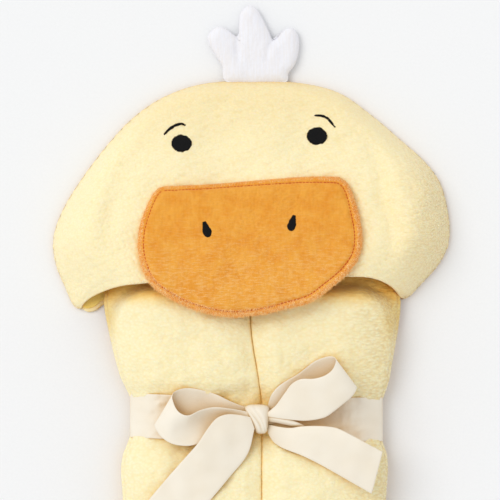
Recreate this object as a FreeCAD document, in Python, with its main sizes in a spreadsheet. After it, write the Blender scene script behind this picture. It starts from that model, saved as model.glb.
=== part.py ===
"""Hooded baby towel, folded into a bundle with its hood pulled on and tied with a ribbon bow.

Millimetres. +X is to the right, +Y points from the foot of the bundle to the crown of the
hood, +Z is up. The bundle lies on its back on the plane z = 0, and the origin is the middle
of the underside of the whole object.
"""
import FreeCAD, Part
import os

import Sketcher
from FreeCAD import Placement, Rotation, Vector

X_AXIS = Vector(1, 0, 0)
Z_AXIS = Vector(0, 0, 1)
DOWN_THE_BUNDLE = Vector(0, -1, 0)
CENTRE = Vector(0, 0, 0)

# Driving dimensions: alias, value, meaning. Millimetres, and degrees for angles.
DIMENSIONS = [
    ("bundle_half", 124, "half the width of the bundle under the hood's brim"),
    ("bundle_thick", 50, "height of the bundle's two padded lobes"),
    ("bundle_shift", 0.5, "how far the bundle's middle lies to the right of the origin"),
    ("foot_end", -239, "where the foot of the bundle ends"),
    ("foot_half", 115, "half the width of the bundle below the ribbon"),
    ("waist_low", -141, "lower end of the ribbon's groove"),
    ("waist_high", -97, "upper end of the ribbon's groove"),
    ("waist_half", 110, "half the width of the bundle in the groove"),
    ("waist_base", 2, "height of the groove's underside"),
    ("waist_thick", 36, "thickness of the bundle in the groove"),
    ("neck_step", -16, "where the bundle's underside steps up on to the hood's back panel"),
    ("neck_base", 3.8, "height of the bundle's underside inside the hood"),
    ("neck_end", 86, "where the bundle ends inside the hood"),
    ("split_top", -1, "sideways place of the line between the two lobes, near the hood"),
    ("split_low", 9, "the same, below the ribbon"),
    ("hood_turn", 3, "turn of the hood about the vertical, degrees"),
    ("hood_wide", 170, "half the width of the hood at its widest"),
    ("hood_crown", 175, "the crown of the hood"),
    ("hood_mouth", 60, "how far the hood's blank runs below the origin before the brim is cut"),
    ("brim_rise", 8, "the brim's highest point, in the middle"),
    ("edge_height", 4.5, "height of the hood's lower edge above the table"),
    ("face_height", 58, "height of the face plane over the origin"),
    ("face_tilt", -13.7, "slope of the face plane down towards the crown, degrees"),
    ("face_wall", 3.5, "thickness of the face panel"),
    ("lining_gap", 1, "gap between the face panel and its lining"),
    ("lining_wall", 1.3, "thickness of the lining"),
    ("back_thick", 3.5, "thickness of the hood's back panel"),
    ("seam_inset", 1.5, "how far the crown seam lies inside the hood's edge"),
    ("seam_wide", 1.2, "width of a row of seam thread"),
    ("seam_gap", 0.3, "air between a row of seam thread and the cloth over it"),
    ("eye_radius", 8.6, "radius of an embroidered eye"),
    ("eye_row", 124, "the eyes' distance up the face plane"),
    ("eye_left_at", -54.7, "the left eye's sideways place on the face plane"),
    ("eye_right_at", 63, "the right eye's sideways place on the face plane"),
    ("brow_row", 133.5, "the brows' distance up the face plane"),
    ("brow_left_at", -59.5, "the left brow's sideways place on the face plane"),
    ("brow_right_at", 71, "the right brow's sideways place on the face plane"),
    ("brow_left_lean", 22, "turn of the left brow, degrees"),
    ("brow_right_lean", -34, "turn of the right brow, degrees"),
    ("thread_lift", 0.8, "how far embroidery stands up"),
    ("bill_half", 96.5, "half the width of the bill at its widest"),
    ("bill_top", 86.5, "the bill's top edge, up the face plane"),
    ("bill_foot", -32, "the bill's lowest point, down the face plane"),
    ("bill_gap", 0.3, "gap between the bill and the face panel"),
    ("bill_skin", 1.5, "thickness of the bill's two covers"),
    ("bill_fill", 6, "thickness of the bill's wadding"),
    ("nostril_at", 36.3, "how far each nostril lies from the middle of the bill"),
    ("nostril_row", 47, "the nostrils' distance up the face plane"),
    ("nostril_lean", 14, "how far the nostrils lean in at the top, degrees"),
    ("tuft_base", 176, "where the tuft is sewn in at the crown"),
    ("tuft_tip", 239.3, "tip of the tuft's middle lobe"),
    ("tuft_skin", 1.5, "thickness of the tuft's two covers"),
    ("tuft_fill", 5, "thickness of the tuft's wadding"),
    ("ribbon_wide", 38, "width of the ribbon"),
    ("ribbon_thick", 1, "thickness of the ribbon and the air it traps"),
    ("ribbon_gap", 0.3, "gap between the ribbon and the bundle"),
    ("knot_wide", 20, "width of the knot"),
    ("knot_long", 23, "length of the knot, down the bundle"),
    ("knot_thick", 10, "height of the knot"),
    ("loop_long", 76, "length of a loop of the bow"),
    ("loop_high", 20, "height of a loop of the bow"),
    ("tail_right_long", 94, "length of the right free end"),
    ("tail_left_long", 108, "length of the left free end"),
]


class Size:
    """A length that carries both its value and the sheet expression that drives it."""

    def __init__(self, value, text):
        self.value = float(value)
        self.text = text

    def join(self, other, sign, value):
        right = other.text if isinstance(other, Size) else repr(float(other))
        return Size(value, f"({self.text} {sign} {right})")

    def __add__(self, other):
        return self.join(other, "+", self.value + number(other))

    def __sub__(self, other):
        return self.join(other, "-", self.value - number(other))

    def __mul__(self, other):
        return self.join(other, "*", self.value * number(other))

    def __neg__(self):
        return self * -1


def number(size):
    """The value of a Size, or of a plain number."""
    return size.value if isinstance(size, Size) else float(size)


class Dimensions:
    """The driving dimensions, by alias."""

    def __init__(self, doc):
        sheet = doc.addObject("Spreadsheet::Sheet", "dims")
        for row, (alias, value, meaning) in enumerate(DIMENSIONS, start=1):
            sheet.set(f"A{row}", meaning)
            sheet.set(f"B{row}", str(value))
            sheet.setAlias(f"B{row}", alias)
            setattr(self, alias, Size(value, f"dims.{alias}"))


# ---------------------------------------------------------------- drawing helpers

def bind(thing, path, size):
    """Drive one property from the sheet."""
    if isinstance(size, Size):
        thing.setExpression(path, size.text)


def fix_point(sketch, geometry, position, point):
    """Hold one point of a sketch at its place, measured from the sketch's origin."""
    for direction, size in zip(("DistanceX", "DistanceY"), point):
        held = Sketcher.Constraint(direction, -1, 1, geometry, position, number(size))
        index = sketch.addConstraint(held)
        bind(sketch, f"Constraints[{index}]", size)


def nearest_end(sketch, geometry, point):
    """1 for an edge's start and 2 for its end, whichever lies at the point."""
    gaps = [sketch.getPoint(geometry, end).distanceToPoint(point) for end in (1, 2)]
    return 1 if gaps[0] < gaps[1] else 2


def draw(sketch, start, steps):
    """Draw a closed outline. A step is (end,) for a line or (through, end) for an arc."""
    here = start
    ends = []
    for step in steps:
        points = [Vector(number(x), number(y), 0) for x, y in (here, *step)]
        if len(step) == 1:
            edge = sketch.addGeometry(Part.LineSegment(*points))
        else:
            edge = sketch.addGeometry(Part.Arc(*points))
            mark = sketch.addGeometry(Part.Point(points[1]), True)
            sketch.addConstraint(Sketcher.Constraint("PointOnObject", mark, 1, edge))
            fix_point(sketch, mark, 1, step[0])
        first = nearest_end(sketch, edge, points[0])
        fix_point(sketch, edge, first, here)
        ends.append((edge, first))
        here = step[-1]
    for (edge, first), (following, start_end) in zip(ends, ends[1:] + ends[:1]):
        last = 3 - first
        sketch.addConstraint(Sketcher.Constraint("Coincident", edge, last, following, start_end))
    return sketch


def flat_sketch(doc, name, start, steps, height=None, tilt=None):
    """A sketch in a level plane, or in one that slopes about the X axis."""
    sketch = doc.addObject("Sketcher::SketchObject", name)
    turn = number(tilt) if tilt else 0
    lift = number(height) if height else 0
    sketch.Placement = Placement(Vector(0, 0, lift), Rotation(X_AXIS, turn))
    bind(sketch, "Placement.Base.z", height)
    return draw(sketch, start, steps)


def side_sketch(doc, name, start, steps):
    """A sketch in the XZ plane: its second direction is up."""
    sketch = doc.addObject("Sketcher::SketchObject", name)
    sketch.Placement = Placement(CENTRE, Rotation(X_AXIS, 90))
    return draw(sketch, start, steps)


def extrude(doc, name, base, forward, backward=None, place=None, direction=Z_AXIS):
    """Pull a closed outline out, upwards unless told otherwise."""
    solid = doc.addObject("Part::Extrusion", name)
    solid.Base = base
    solid.DirMode = "Custom"
    solid.Dir = direction
    solid.Solid = True
    solid.LengthFwd = number(forward)
    bind(solid, "LengthFwd", forward)
    if backward is not None:
        solid.LengthRev = number(backward)
        bind(solid, "LengthRev", backward)
    if place is not None:
        solid.Placement = place
    return solid


def inset(doc, name, outline, distance):
    """The same outline, moved inwards by a distance (outwards if it is negative)."""
    copy = doc.addObject("Part::Offset2D", name)
    copy.Source = outline
    copy.Value = -number(distance)
    copy.Join = 0
    bind(copy, "Value", -distance if isinstance(distance, Size) else distance)
    return copy


def cut(doc, name, base, tool, place=None):
    """One solid less another."""
    result = doc.addObject("Part::Cut", name)
    result.Base = base
    result.Tool = tool
    if place is not None:
        result.Placement = place
    return result


def common(doc, name, base, tool, place=None):
    """What two solids share."""
    result = doc.addObject("Part::Common", name)
    result.Base = base
    result.Tool = tool
    if place is not None:
        result.Placement = place
    return result


def loft(doc, name, sections):
    """Straight-sided solid through closed outlines."""
    solid = doc.addObject("Part::Loft", name)
    solid.Sections = sections
    solid.Solid = True
    solid.Ruled = True
    return solid


# ---------------------------------------------------------------- towel body

def bundle_section(dims, half, base, thick, split, dip):
    """Outline across the bundle: flat underside, two padded lobes with a valley between."""
    middle = dims.bundle_shift
    right = [(0.88, 0.0), (0.98, 0.2), (1.0, 0.42), (0.88, 0.78), (0.7, 0.95), (0.45, 1.0)]
    points = [(middle + half * x, base + thick * z) for x, z in right]
    points.append((split + half * 0.1, base + thick * (1 - 0.3 * dip)))
    points.append((split, base + thick * (1 - dip)))
    points.append((split - half * 0.1, base + thick * (1 - 0.3 * dip)))
    points += [(middle - half * x, base + thick * z) for x, z in reversed(right)]
    return points[0], [(point,) for point in points[1:] + points[:1]]


def bundle_stations(dims):
    """(place along Y, outline across) from the foot to the end inside the hood."""
    zero = dims.waist_base * 0
    low, top = dims.split_low, dims.split_top
    thick = dims.bundle_thick
    waist = (dims.waist_half, dims.waist_base, dims.waist_thick, low, 0.01)
    full = (dims.bundle_half * 0.985, dims.neck_base, thick - dims.neck_base, top, 0.12)
    return [
        (dims.foot_end, (dims.foot_half * 0.93, zero + 7, thick * 0.66, low, 0.1)),
        (dims.foot_end + 11, (dims.foot_half, zero, thick, low, 0.14)),
        (dims.waist_low - 17, (dims.foot_half, zero, thick, low, 0.14)),
        (dims.waist_low, waist),
        (dims.waist_high, waist),
        (dims.waist_high + 17, (dims.foot_half, zero, thick * 0.95, top, 0.1)),
        (dims.neck_step - 1, (dims.bundle_half, zero, thick, top, 0.12)),
        (dims.neck_step, full),
        (dims.neck_step + 18, full),
        (dims.neck_end - 44, (dims.bundle_half * 0.92, dims.neck_base, thick * 0.72, top, 0.1)),
        (dims.neck_end - 8, (dims.bundle_half * 0.75, dims.neck_base, thick * 0.53, top, 0.05)),
        (dims.neck_end, (dims.bundle_half * 0.66, dims.neck_base + 3, thick * 0.36, top, 0.05)),
    ]


def make_towel_body(doc, dims):
    """The main sheet of terry, folded into a bundle and drawn in at the waist."""
    body = doc.addObject("PartDesign::Body", "towel_body")
    plane = next(p for p in body.Origin.OriginFeatures if p.Role == "XZ_Plane")
    sections = []
    for count, (along, outline) in enumerate(bundle_stations(dims)):
        sketch = body.newObject("Sketcher::SketchObject", f"bundle_section_{count}")
        sketch.AttachmentSupport = [(plane, "")]
        sketch.MapMode = "FlatFace"
        sketch.AttachmentOffset = Placement(Vector(0, 0, -number(along)), Rotation())
        bind(sketch, "AttachmentOffset.Base.z", -along)
        draw(sketch, *bundle_section(dims, *outline))
        sections.append(sketch)
    folded = body.newObject("PartDesign::AdditiveLoft", "bundle_loft")
    folded.Profile = sections[0]
    folded.Sections = sections[1:]
    folded.Ruled = True
    return body


# ---------------------------------------------------------------- hood

def hood_outline(doc, name, dims, edge, height=None, tilt=None):
    """The hood's blank: five arcs from the left corner over the crown to the right corner."""
    steps = [
        (edge["left_bulge"], edge["left_hip"]),
        (edge["left_shoulder"], edge["left_brow"]),
        (edge["crown"], edge["right_brow"]),
        (edge["right_shoulder"], edge["right_hip"]),
        (edge["right_bulge"], edge["right_corner"]),
        (edge["right_foot"],),
        (edge["left_foot"],),
        (edge["left_corner"],),
    ]
    return flat_sketch(doc, name, edge["left_corner"], steps, height, tilt)


def lower_edge(dims, wall=0):
    """Points of the hood's lower outline, where the two panels are sewn together, drawn in by a wall."""
    wide, crown, mouth = dims.hood_wide - wall, dims.hood_crown - wall, dims.hood_mouth
    return {
        "left_corner": (wide * -0.906, crown * -0.074),
        "left_bulge": (-wide, crown * 0.171),
        "left_hip": (wide * -0.918, crown * 0.423),
        "left_shoulder": (wide * -0.7, crown * 0.709),
        "left_brow": (wide * -0.459, crown * 0.903),
        "crown": (wide * 0.05, crown),
        "right_brow": (wide * 0.576, crown * 0.851),
        "right_shoulder": (wide * 0.835, crown * 0.617),
        "right_hip": (wide * 0.976, crown * 0.434),
        "right_bulge": (wide * 1.018, crown * 0.171),
        "right_corner": (wide * 0.87, crown * -0.137),
        "right_foot": (wide * 0.85, -mouth),
        "left_foot": (wide * -0.89, -mouth),
    }


def upper_edge(dims, wall=0):
    """Points of the flatter face of the hood, measured in its own sloping plane, drawn in by a wall."""
    wide, crown, mouth = dims.hood_wide - wall, dims.hood_crown - wall, dims.hood_mouth
    return {
        "left_corner": (wide * -0.624, crown * -0.03),
        "left_bulge": (wide * -0.72, crown * 0.21),
        "left_hip": (wide * -0.69, crown * 0.41),
        "left_shoulder": (wide * -0.575, crown * 0.62),
        "left_brow": (wide * -0.388, crown * 0.82),
        "crown": (wide * 0.047, crown * 0.94),
        "right_brow": (wide * 0.494, crown * 0.777),
        "right_shoulder": (wide * 0.69, crown * 0.54),
        "right_hip": (wide * 0.753, crown * 0.394),
        "right_bulge": (wide * 0.765, crown * 0.19),
        "right_corner": (wide * 0.618, crown * -0.03),
        "right_foot": (wide * 0.61, -mouth),
        "left_foot": (wide * -0.61, -mouth),
    }


def tent(doc, name, dims, wall, drop, sink):
    """Solid tent under the hood's surface, drawn in by a wall, its top lowered by a drop and all of it by a sink."""
    lower = hood_outline(doc, f"{name}_lower", dims, lower_edge(dims, wall), dims.edge_height - sink)
    height = dims.face_height - drop - sink
    upper = hood_outline(doc, f"{name}_upper", dims, upper_edge(dims, wall), height, dims.face_tilt)
    return loft(doc, name, [lower, upper])


def brim_cutter(doc, name, dims, back):
    """Everything below the curved brim, which is moved back towards the crown a little."""
    left, right = dims.hood_wide * -0.906, dims.hood_wide * 0.87
    left_end = (left, dims.hood_crown * -0.074 + back)
    right_end = (right, dims.hood_crown * -0.137 + back)
    far = dims.hood_wide * 1.3
    foot = -dims.hood_mouth * 1.5
    start = (-far, left_end[1])
    outline = flat_sketch(doc, f"{name}_outline", start, [
        (left_end,),
        ((dims.hood_wide * 0, dims.brim_rise + back), right_end),
        ((far, right_end[1]),),
        ((far, foot),),
        ((-far, foot),),
        (start,),
    ])
    return extrude(doc, name, outline, dims.face_height * 2)


def floor_block(doc, name, dims):
    """Everything below the hood's lower edge."""
    wide = dims.hood_wide * 3
    box = doc.addObject("Part::Box", name)
    bind(box, "Length", wide)
    bind(box, "Width", wide)
    bind(box, "Height", dims.face_height)
    bind(box, "Placement.Base.x", wide * -0.5)
    bind(box, "Placement.Base.y", wide * -0.5)
    bind(box, "Placement.Base.z", dims.edge_height - dims.face_height)
    return box


def hood_shell(doc, name, dims, outer, inner, back):
    """Hollow tent with an open mouth. outer and inner are (wall, drop, sink) of its two skins."""
    solid = tent(doc, f"{name}_outer", dims, *outer)
    hollow = tent(doc, f"{name}_inner", dims, *inner)
    shell = cut(doc, f"{name}_shell", solid, hollow)
    trimmed = cut(doc, f"{name}_trimmed", shell, floor_block(doc, f"{name}_floor", dims))
    turn = Placement(CENTRE, Rotation(Z_AXIS, number(dims.hood_turn)))
    return cut(doc, name, trimmed, brim_cutter(doc, f"{name}_mouth", dims, back), turn)


def make_hood_face_panel(doc, dims):
    """The upper terry panel of the hood."""
    none = dims.face_wall * 0
    inner = (dims.face_wall * 1.3, dims.face_wall, none)
    return hood_shell(doc, "hood_face_panel", dims, (none, none, none), inner, none)


def make_hood_lining(doc, dims):
    """The thin layer inside the face panel: the panel's own inner form, sunk by the gap and by the layer."""
    wall = dims.face_wall * 1.3
    outer = (wall, dims.face_wall, dims.lining_gap)
    inner = (wall, dims.face_wall, dims.lining_gap + dims.lining_wall)
    return hood_shell(doc, "hood_lining", dims, outer, inner, dims.lining_wall * 0.5)


def neck_box(doc, name, dims, edge):
    """Block that trims a hood piece along the straight neck edge."""
    wide, deep = dims.hood_wide * 3, dims.hood_mouth * 3
    box = doc.addObject("Part::Box", name)
    bind(box, "Length", wide)
    bind(box, "Width", deep)
    bind(box, "Height", dims.face_height)
    bind(box, "Placement.Base.x", wide * -0.5)
    bind(box, "Placement.Base.y", edge - deep)
    bind(box, "Placement.Base.z", dims.face_height * -0.5)
    return box


def hood_place(dims, height):
    """Placement that turns a hood piece with the hood and moves it to a height."""
    return Placement(Vector(0, 0, height), Rotation(Z_AXIS, number(dims.hood_turn)))


def make_hood_back_panel(doc, dims):
    """The flat under panel of the hood, sewn to the towel along the neck."""
    blank = hood_outline(doc, "back_panel_outline", dims, lower_edge(dims))
    panel = extrude(doc, "back_panel_blank", blank, dims.back_thick, place=hood_place(dims, 0))
    end = dims.neck_step + dims.seam_wide + 0.4
    return cut(doc, "hood_back_panel", panel, neck_box(doc, "back_panel_trim", dims, end))


def make_crown_seam(doc, dims):
    """Row of overlock thread round the dome, between the hood's two panels."""
    blank = hood_outline(doc, "crown_seam_outline", dims, lower_edge(dims))
    place = hood_place(dims, number(dims.back_thick))
    lift = dims.edge_height - dims.back_thick - dims.seam_gap
    outer_line = inset(doc, "crown_seam_edge", blank, dims.seam_inset)
    inner_line = inset(doc, "crown_seam_core", blank, dims.seam_inset + dims.seam_wide)
    outer = extrude(doc, "crown_seam_outer", outer_line, lift, place=place)
    inner = extrude(doc, "crown_seam_inner", inner_line, lift, place=place)
    ring = cut(doc, "crown_seam_ring", outer, inner)
    end = dims.neck_step + dims.seam_wide * 2
    return cut(doc, "crown_seam", ring, neck_box(doc, "crown_seam_trim", dims, end))


def make_neck_seam(doc, dims):
    """Row of thread that joins the back panel to the towel along the neck."""
    seam = doc.addObject("Part::Box", "neck_seam")
    length = dims.bundle_half * 1.84
    floor = dims.seam_gap * 2
    height = dims.neck_base - floor * 2
    bind(seam, "Length", length)
    bind(seam, "Width", dims.seam_wide)
    bind(seam, "Height", height)
    bind(seam, "Placement.Base.x", length * -0.5)
    bind(seam, "Placement.Base.y", dims.neck_step + 0.2)
    bind(seam, "Placement.Base.z", floor)
    return seam


# ---------------------------------------------------------------- face details

def on_face(dims, across, up, lift):
    """Placement on the sloping face: across and up are measured in its plane."""
    level = hood_place(dims, 0)
    slope = Placement(Vector(0, 0, number(dims.face_height)), Rotation(X_AXIS, number(dims.face_tilt)))
    return level.multiply(slope).multiply(Placement(Vector(across, up, lift), Rotation()))


def make_eye(doc, dims, side, across):
    """Embroidered disc."""
    eye = doc.addObject("Part::Cylinder", f"eye_{side}")
    bind(eye, "Radius", dims.eye_radius)
    bind(eye, "Height", dims.thread_lift)
    eye.Placement = on_face(dims, number(across), number(dims.eye_row), 0)
    return eye


def make_brow(doc, dims, side, across, lean):
    """Thin tapered arc of black thread over an eye."""
    reach = dims.eye_radius * 1.1
    rise = dims.eye_radius * 0.42
    weight = dims.eye_radius * 0.24
    none = reach * 0
    outline = flat_sketch(doc, f"brow_{side}_outline", (-reach, none), [
        ((none, rise + weight), (reach, none)),
        ((none, rise), (-reach, none)),
    ])
    place = on_face(dims, number(across), number(dims.brow_row), 0)
    place = place.multiply(Placement(CENTRE, Rotation(Z_AXIS, number(lean))))
    return extrude(doc, f"brow_{side}", outline, dims.thread_lift, place=place)


def bill_outline(doc, dims):
    """Outline of the bill: a nearly straight top edge, full sides and a deep curved lip."""
    half, top, foot = dims.bill_half, dims.bill_top, dims.bill_foot
    corner = half * 0.83
    lip = half * 0.8
    none = half * 0
    return flat_sketch(doc, "bill_outline", (-corner, top * 0.97), [
        ((none, top), (corner, top * 0.97)),
        ((half, top * 0.38), (lip, foot * 0.16)),
        ((none, foot), (-lip, foot * 0.16)),
        ((-half, top * 0.38), (-corner, top * 0.97)),
    ])


def make_bill(doc, dims):
    """The stuffed bill: back cover, wadding, front cover and the stitch line on it."""
    outline = bill_outline(doc, dims)
    fill_line = inset(doc, "bill_fill_outline", outline, dims.bill_skin)
    floor = number(dims.bill_gap)
    skin = number(dims.bill_skin)
    under = extrude(doc, "bill_back", outline, dims.bill_skin, place=on_face(dims, 0, 0, floor))
    above_back = on_face(dims, 0, 0, floor + skin)
    fill = extrude(doc, "bill_batting", fill_line, dims.bill_fill, place=above_back)
    full = extrude(doc, "bill_front_blank", outline, dims.bill_fill + dims.bill_skin, place=above_back)
    hollow = extrude(doc, "bill_front_hollow", fill_line, dims.bill_fill, place=above_back)
    cover = cut(doc, "bill_front", full, hollow)
    stitch_outer = inset(doc, "bill_stitch_outer", outline, dims.bill_skin * 2.6)
    stitch_inner = inset(doc, "bill_stitch_inner", outline, dims.bill_skin * 3.2)
    top = on_face(dims, 0, 0, bill_top_lift(dims))
    outer = extrude(doc, "bill_stitch_blank", stitch_outer, dims.thread_lift * 0.5, place=top)
    inner = extrude(doc, "bill_stitch_core", stitch_inner, dims.thread_lift * 0.5, place=top)
    return [under, fill, cover, cut(doc, "bill_topstitch", outer, inner)]


def bill_top_lift(dims):
    """Height of the bill's upper surface over the face plane."""
    return number(dims.bill_gap + dims.bill_skin * 2 + dims.bill_fill)


def make_nostril(doc, dims, side, across, lean):
    """Embroidered tear shape, wider at its foot."""
    long = dims.bill_half * 0.08
    wide = dims.bill_half * 0.034
    none = long * 0
    outline = flat_sketch(doc, f"nostril_{side}_outline", (-wide, -long * 0.5), [
        ((none, -long), (wide, -long * 0.5)),
        ((wide * 0.8, long * 0.4), (none, long)),
        ((wide * -0.8, long * 0.4), (-wide, -long * 0.5)),
    ])
    place = on_face(dims, number(across), number(dims.nostril_row), bill_top_lift(dims))
    place = place.multiply(Placement(CENTRE, Rotation(Z_AXIS, number(lean))))
    return extrude(doc, f"nostril_{side}", outline, dims.thread_lift, place=place)


# ---------------------------------------------------------------- tuft

def tuft_outline(doc, dims):
    """Three rounded lobes on a narrow root."""
    base, tip = dims.tuft_base, dims.tuft_tip
    long = tip - base

    def at(across, share):
        return (long * 0 + across, base + long * share)

    return flat_sketch(doc, "tuft_outline", at(-19, 0), [
        (at(27, 0),),
        (at(31, 0.32), at(41, 0.57)),
        (at(36, 0.76), at(25, 0.68)),
        (at(20.5, 0.59), at(18, 0.48)),
        (at(16, 0.73), at(8, 0.92)),
        (at(-2, 1), at(-11, 0.9)),
        (at(-13, 0.73), at(-12, 0.58)),
        (at(-17, 0.71), at(-25, 0.78)),
        (at(-36, 0.7), at(-34, 0.53)),
        (at(-24, 0.28), at(-19, 0)),
    ])


def make_tuft(doc, dims):
    """The white tuft: back cover, wadding and front cover."""
    outline = tuft_outline(doc, dims)
    fill_line = inset(doc, "tuft_fill_outline", outline, dims.tuft_skin)
    above_back = Placement(Vector(0, 0, number(dims.tuft_skin)), Rotation())
    under = extrude(doc, "tuft_back", outline, dims.tuft_skin)
    fill = extrude(doc, "tuft_batting", fill_line, dims.tuft_fill, place=above_back)
    full = extrude(doc, "tuft_front_blank", outline, dims.tuft_fill + dims.tuft_skin, place=above_back)
    hollow = extrude(doc, "tuft_front_hollow", fill_line, dims.tuft_fill, place=above_back)
    return [under, fill, cut(doc, "tuft_front", full, hollow)]


# ---------------------------------------------------------------- ribbon

def make_ribbon_band(doc, dims):
    """The ribbon round the waist of the bundle."""
    section = bundle_section(dims, dims.waist_half, dims.waist_base, dims.waist_thick,
                             dims.split_low, 0.01)
    waist = side_sketch(doc, "band_waist", *section)
    inner_line = inset(doc, "band_inner_outline", waist, -dims.ribbon_gap)
    outer_line = inset(doc, "band_outer_outline", waist, -(dims.ribbon_gap + dims.ribbon_thick))
    middle = (dims.waist_low + dims.waist_high) * 0.5
    start = Placement(Vector(0, number(middle + dims.ribbon_wide * 0.5), 0), Rotation())
    along = {"place": start, "direction": DOWN_THE_BUNDLE}
    outer = extrude(doc, "band_outer", outer_line, dims.ribbon_wide, **along)
    inner = extrude(doc, "band_inner", inner_line, dims.ribbon_wide, **along)
    return cut(doc, "ribbon_band", outer, inner)


def band_top(dims):
    """Height of the band's upper surface."""
    return number(dims.waist_base + dims.waist_thick + dims.ribbon_gap + dims.ribbon_thick)


# Where the knot sits, and where each piece of the bow leaves it: x, y, then its direction in degrees.
KNOT_AT = (6.5, -119.5)
LOOP_LEFT_AT = (-5, -117, 177)
LOOP_RIGHT_AT = (18.5, -115, 20)
TAIL_LEFT_AT = (-14, -136, 228.6)
TAIL_RIGHT_AT = (19, -134, -19)

KNOT_GAP = 0.1

# How far over the band the loops, the right free end and the left free end leave the knot.
LOOPS_LEAVE = 0.6
TAIL_RIGHT_LEAVES = 4.3
TAIL_LEFT_LEAVES = 8


def make_ribbon_knot(doc, dims):
    """The knot: a rounded pad on the band."""
    body = doc.addObject("PartDesign::Body", "ribbon_knot")
    plane = next(p for p in body.Origin.OriginFeatures if p.Role == "XY_Plane")
    sketch = body.newObject("Sketcher::SketchObject", "knot_outline")
    sketch.AttachmentSupport = [(plane, "")]
    sketch.MapMode = "FlatFace"
    wide, long = dims.knot_wide * 0.5, dims.knot_long * 0.5
    none = wide * 0
    draw(sketch, (wide * -0.85, long * 0.9), [
        ((-wide, none), (wide * -0.6, long * -0.9)),
        ((none, -long), (wide * 0.6, long * -0.9)),
        ((wide, none), (wide * 0.85, long * 0.9)),
        ((none, long), (wide * -0.85, long * 0.9)),
    ])
    pad = body.newObject("PartDesign::Pad", "knot_pad")
    pad.Profile = sketch
    pad.Length = number(dims.knot_thick)
    bind(pad, "Length", dims.knot_thick)
    doc.recompute()
    rounded = body.newObject("PartDesign::Chamfer", "knot_round")
    top = [f"Edge{i + 1}" for i, edge in enumerate(pad.Shape.Edges)
           if min(v.Z for v in edge.Vertexes) > number(dims.knot_thick) - 0.1]
    rounded.Base = (pad, top)
    rounded.Size = number(dims.knot_thick) * 0.25
    bind(rounded, "Size", dims.knot_thick * 0.25)
    body.Placement.Base = Vector(*KNOT_AT, band_top(dims) + KNOT_GAP)
    return body


def ribbon_plan(doc, name, dims, root, long, slant):
    """Plan of a flat ribbon piece: narrow where it leaves the knot, then its full width."""
    half = dims.ribbon_wide * 0.5
    narrow = half * root
    grown = half * 1.7
    none = half * 0
    return flat_sketch(doc, name, (none, -narrow), [
        ((grown, -half),),
        ((long - half * slant, -half),),
        ((long, half),),
        ((grown, half),),
        ((none, narrow),),
        ((none, -narrow),),
    ], none - dims.loop_high * 2)


def make_ribbon_loop(doc, dims, side, rise, place):
    """One loop of the bow: a teardrop seen from its side, as wide as the ribbon."""
    long, high = dims.loop_long, dims.loop_high
    none = long * 0
    teardrop = side_sketch(doc, f"loop_{side}_outline", (none, high * 0.15), [
        ((long * 0.45, rise), (long * 0.88, rise + high * 0.1)),
        ((long, rise + high * 0.5), (long * 0.88, rise + high * 0.95)),
        ((long * 0.45, rise + high * 0.85), (none, high * 0.4)),
        ((none, high * 0.15),),
    ])
    core = inset(doc, f"loop_{side}_core_outline", teardrop, dims.ribbon_thick)
    half = dims.ribbon_wide * 0.5
    outer = extrude(doc, f"loop_{side}_outer", teardrop, half, half, direction=DOWN_THE_BUNDLE)
    inner = extrude(doc, f"loop_{side}_inner", core, half, half, direction=DOWN_THE_BUNDLE)
    ring = cut(doc, f"loop_{side}_ring", outer, inner)
    plan = ribbon_plan(doc, f"loop_{side}_plan", dims, 0.35, long + 5, 0)
    trim = extrude(doc, f"loop_{side}_trim", plan, dims.loop_high * 4)
    return common(doc, f"ribbon_loop_{side}", ring, trim, place)


def make_ribbon_tail(doc, dims, side, long, climb, slant, place):
    """One free end: it climbs from the knot on to the bundle's lower lobe and lies there."""
    thick = dims.ribbon_thick
    none = long * 0
    route = [(none, none), (long * 0.15, climb * 0.35), (long * 0.36, climb * 0.97), (long, climb)]
    back = [(x, z + thick) for x, z in reversed(route)]
    points = route[1:] + back + route[:1]
    strip_line = side_sketch(doc, f"tail_{side}_outline", route[0], [(point,) for point in points])
    half = dims.ribbon_wide * 0.5
    strip = extrude(doc, f"tail_{side}_strip", strip_line, half, half, direction=DOWN_THE_BUNDLE)
    plan = ribbon_plan(doc, f"tail_{side}_plan", dims, 0.35, long, slant)
    trim = extrude(doc, f"tail_{side}_trim", plan, dims.loop_high * 4)
    return common(doc, f"ribbon_tail_{side}", strip, trim, place)


def bow_place(dims, at, leaves):
    """Placement of a piece of the bow, which leaves the knot some way over the band."""
    across, along, direction = at
    return Placement(Vector(across, along, band_top(dims) + leaves), Rotation(Z_AXIS, direction))


def make_bow(doc, dims):
    """Both loops and both free ends, each turned to its own direction."""
    loop_left = bow_place(dims, LOOP_LEFT_AT, LOOPS_LEAVE)
    loop_right = bow_place(dims, LOOP_RIGHT_AT, LOOPS_LEAVE)
    tail_left = bow_place(dims, TAIL_LEFT_AT, TAIL_LEFT_LEAVES)
    tail_right = bow_place(dims, TAIL_RIGHT_AT, TAIL_RIGHT_LEAVES)
    climb_left, climb_right = dims.ribbon_thick * 4.5, dims.ribbon_thick * 8
    return [
        make_ribbon_loop(doc, dims, "left", dims.loop_high * 0, loop_left),
        make_ribbon_loop(doc, dims, "right", dims.loop_high * 0.4, loop_right),
        make_ribbon_tail(doc, dims, "left", dims.tail_left_long, climb_left, 0.3, tail_left),
        make_ribbon_tail(doc, dims, "right", dims.tail_right_long, climb_right, 0, tail_right),
    ]


# ---------------------------------------------------------------- assembly

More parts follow.
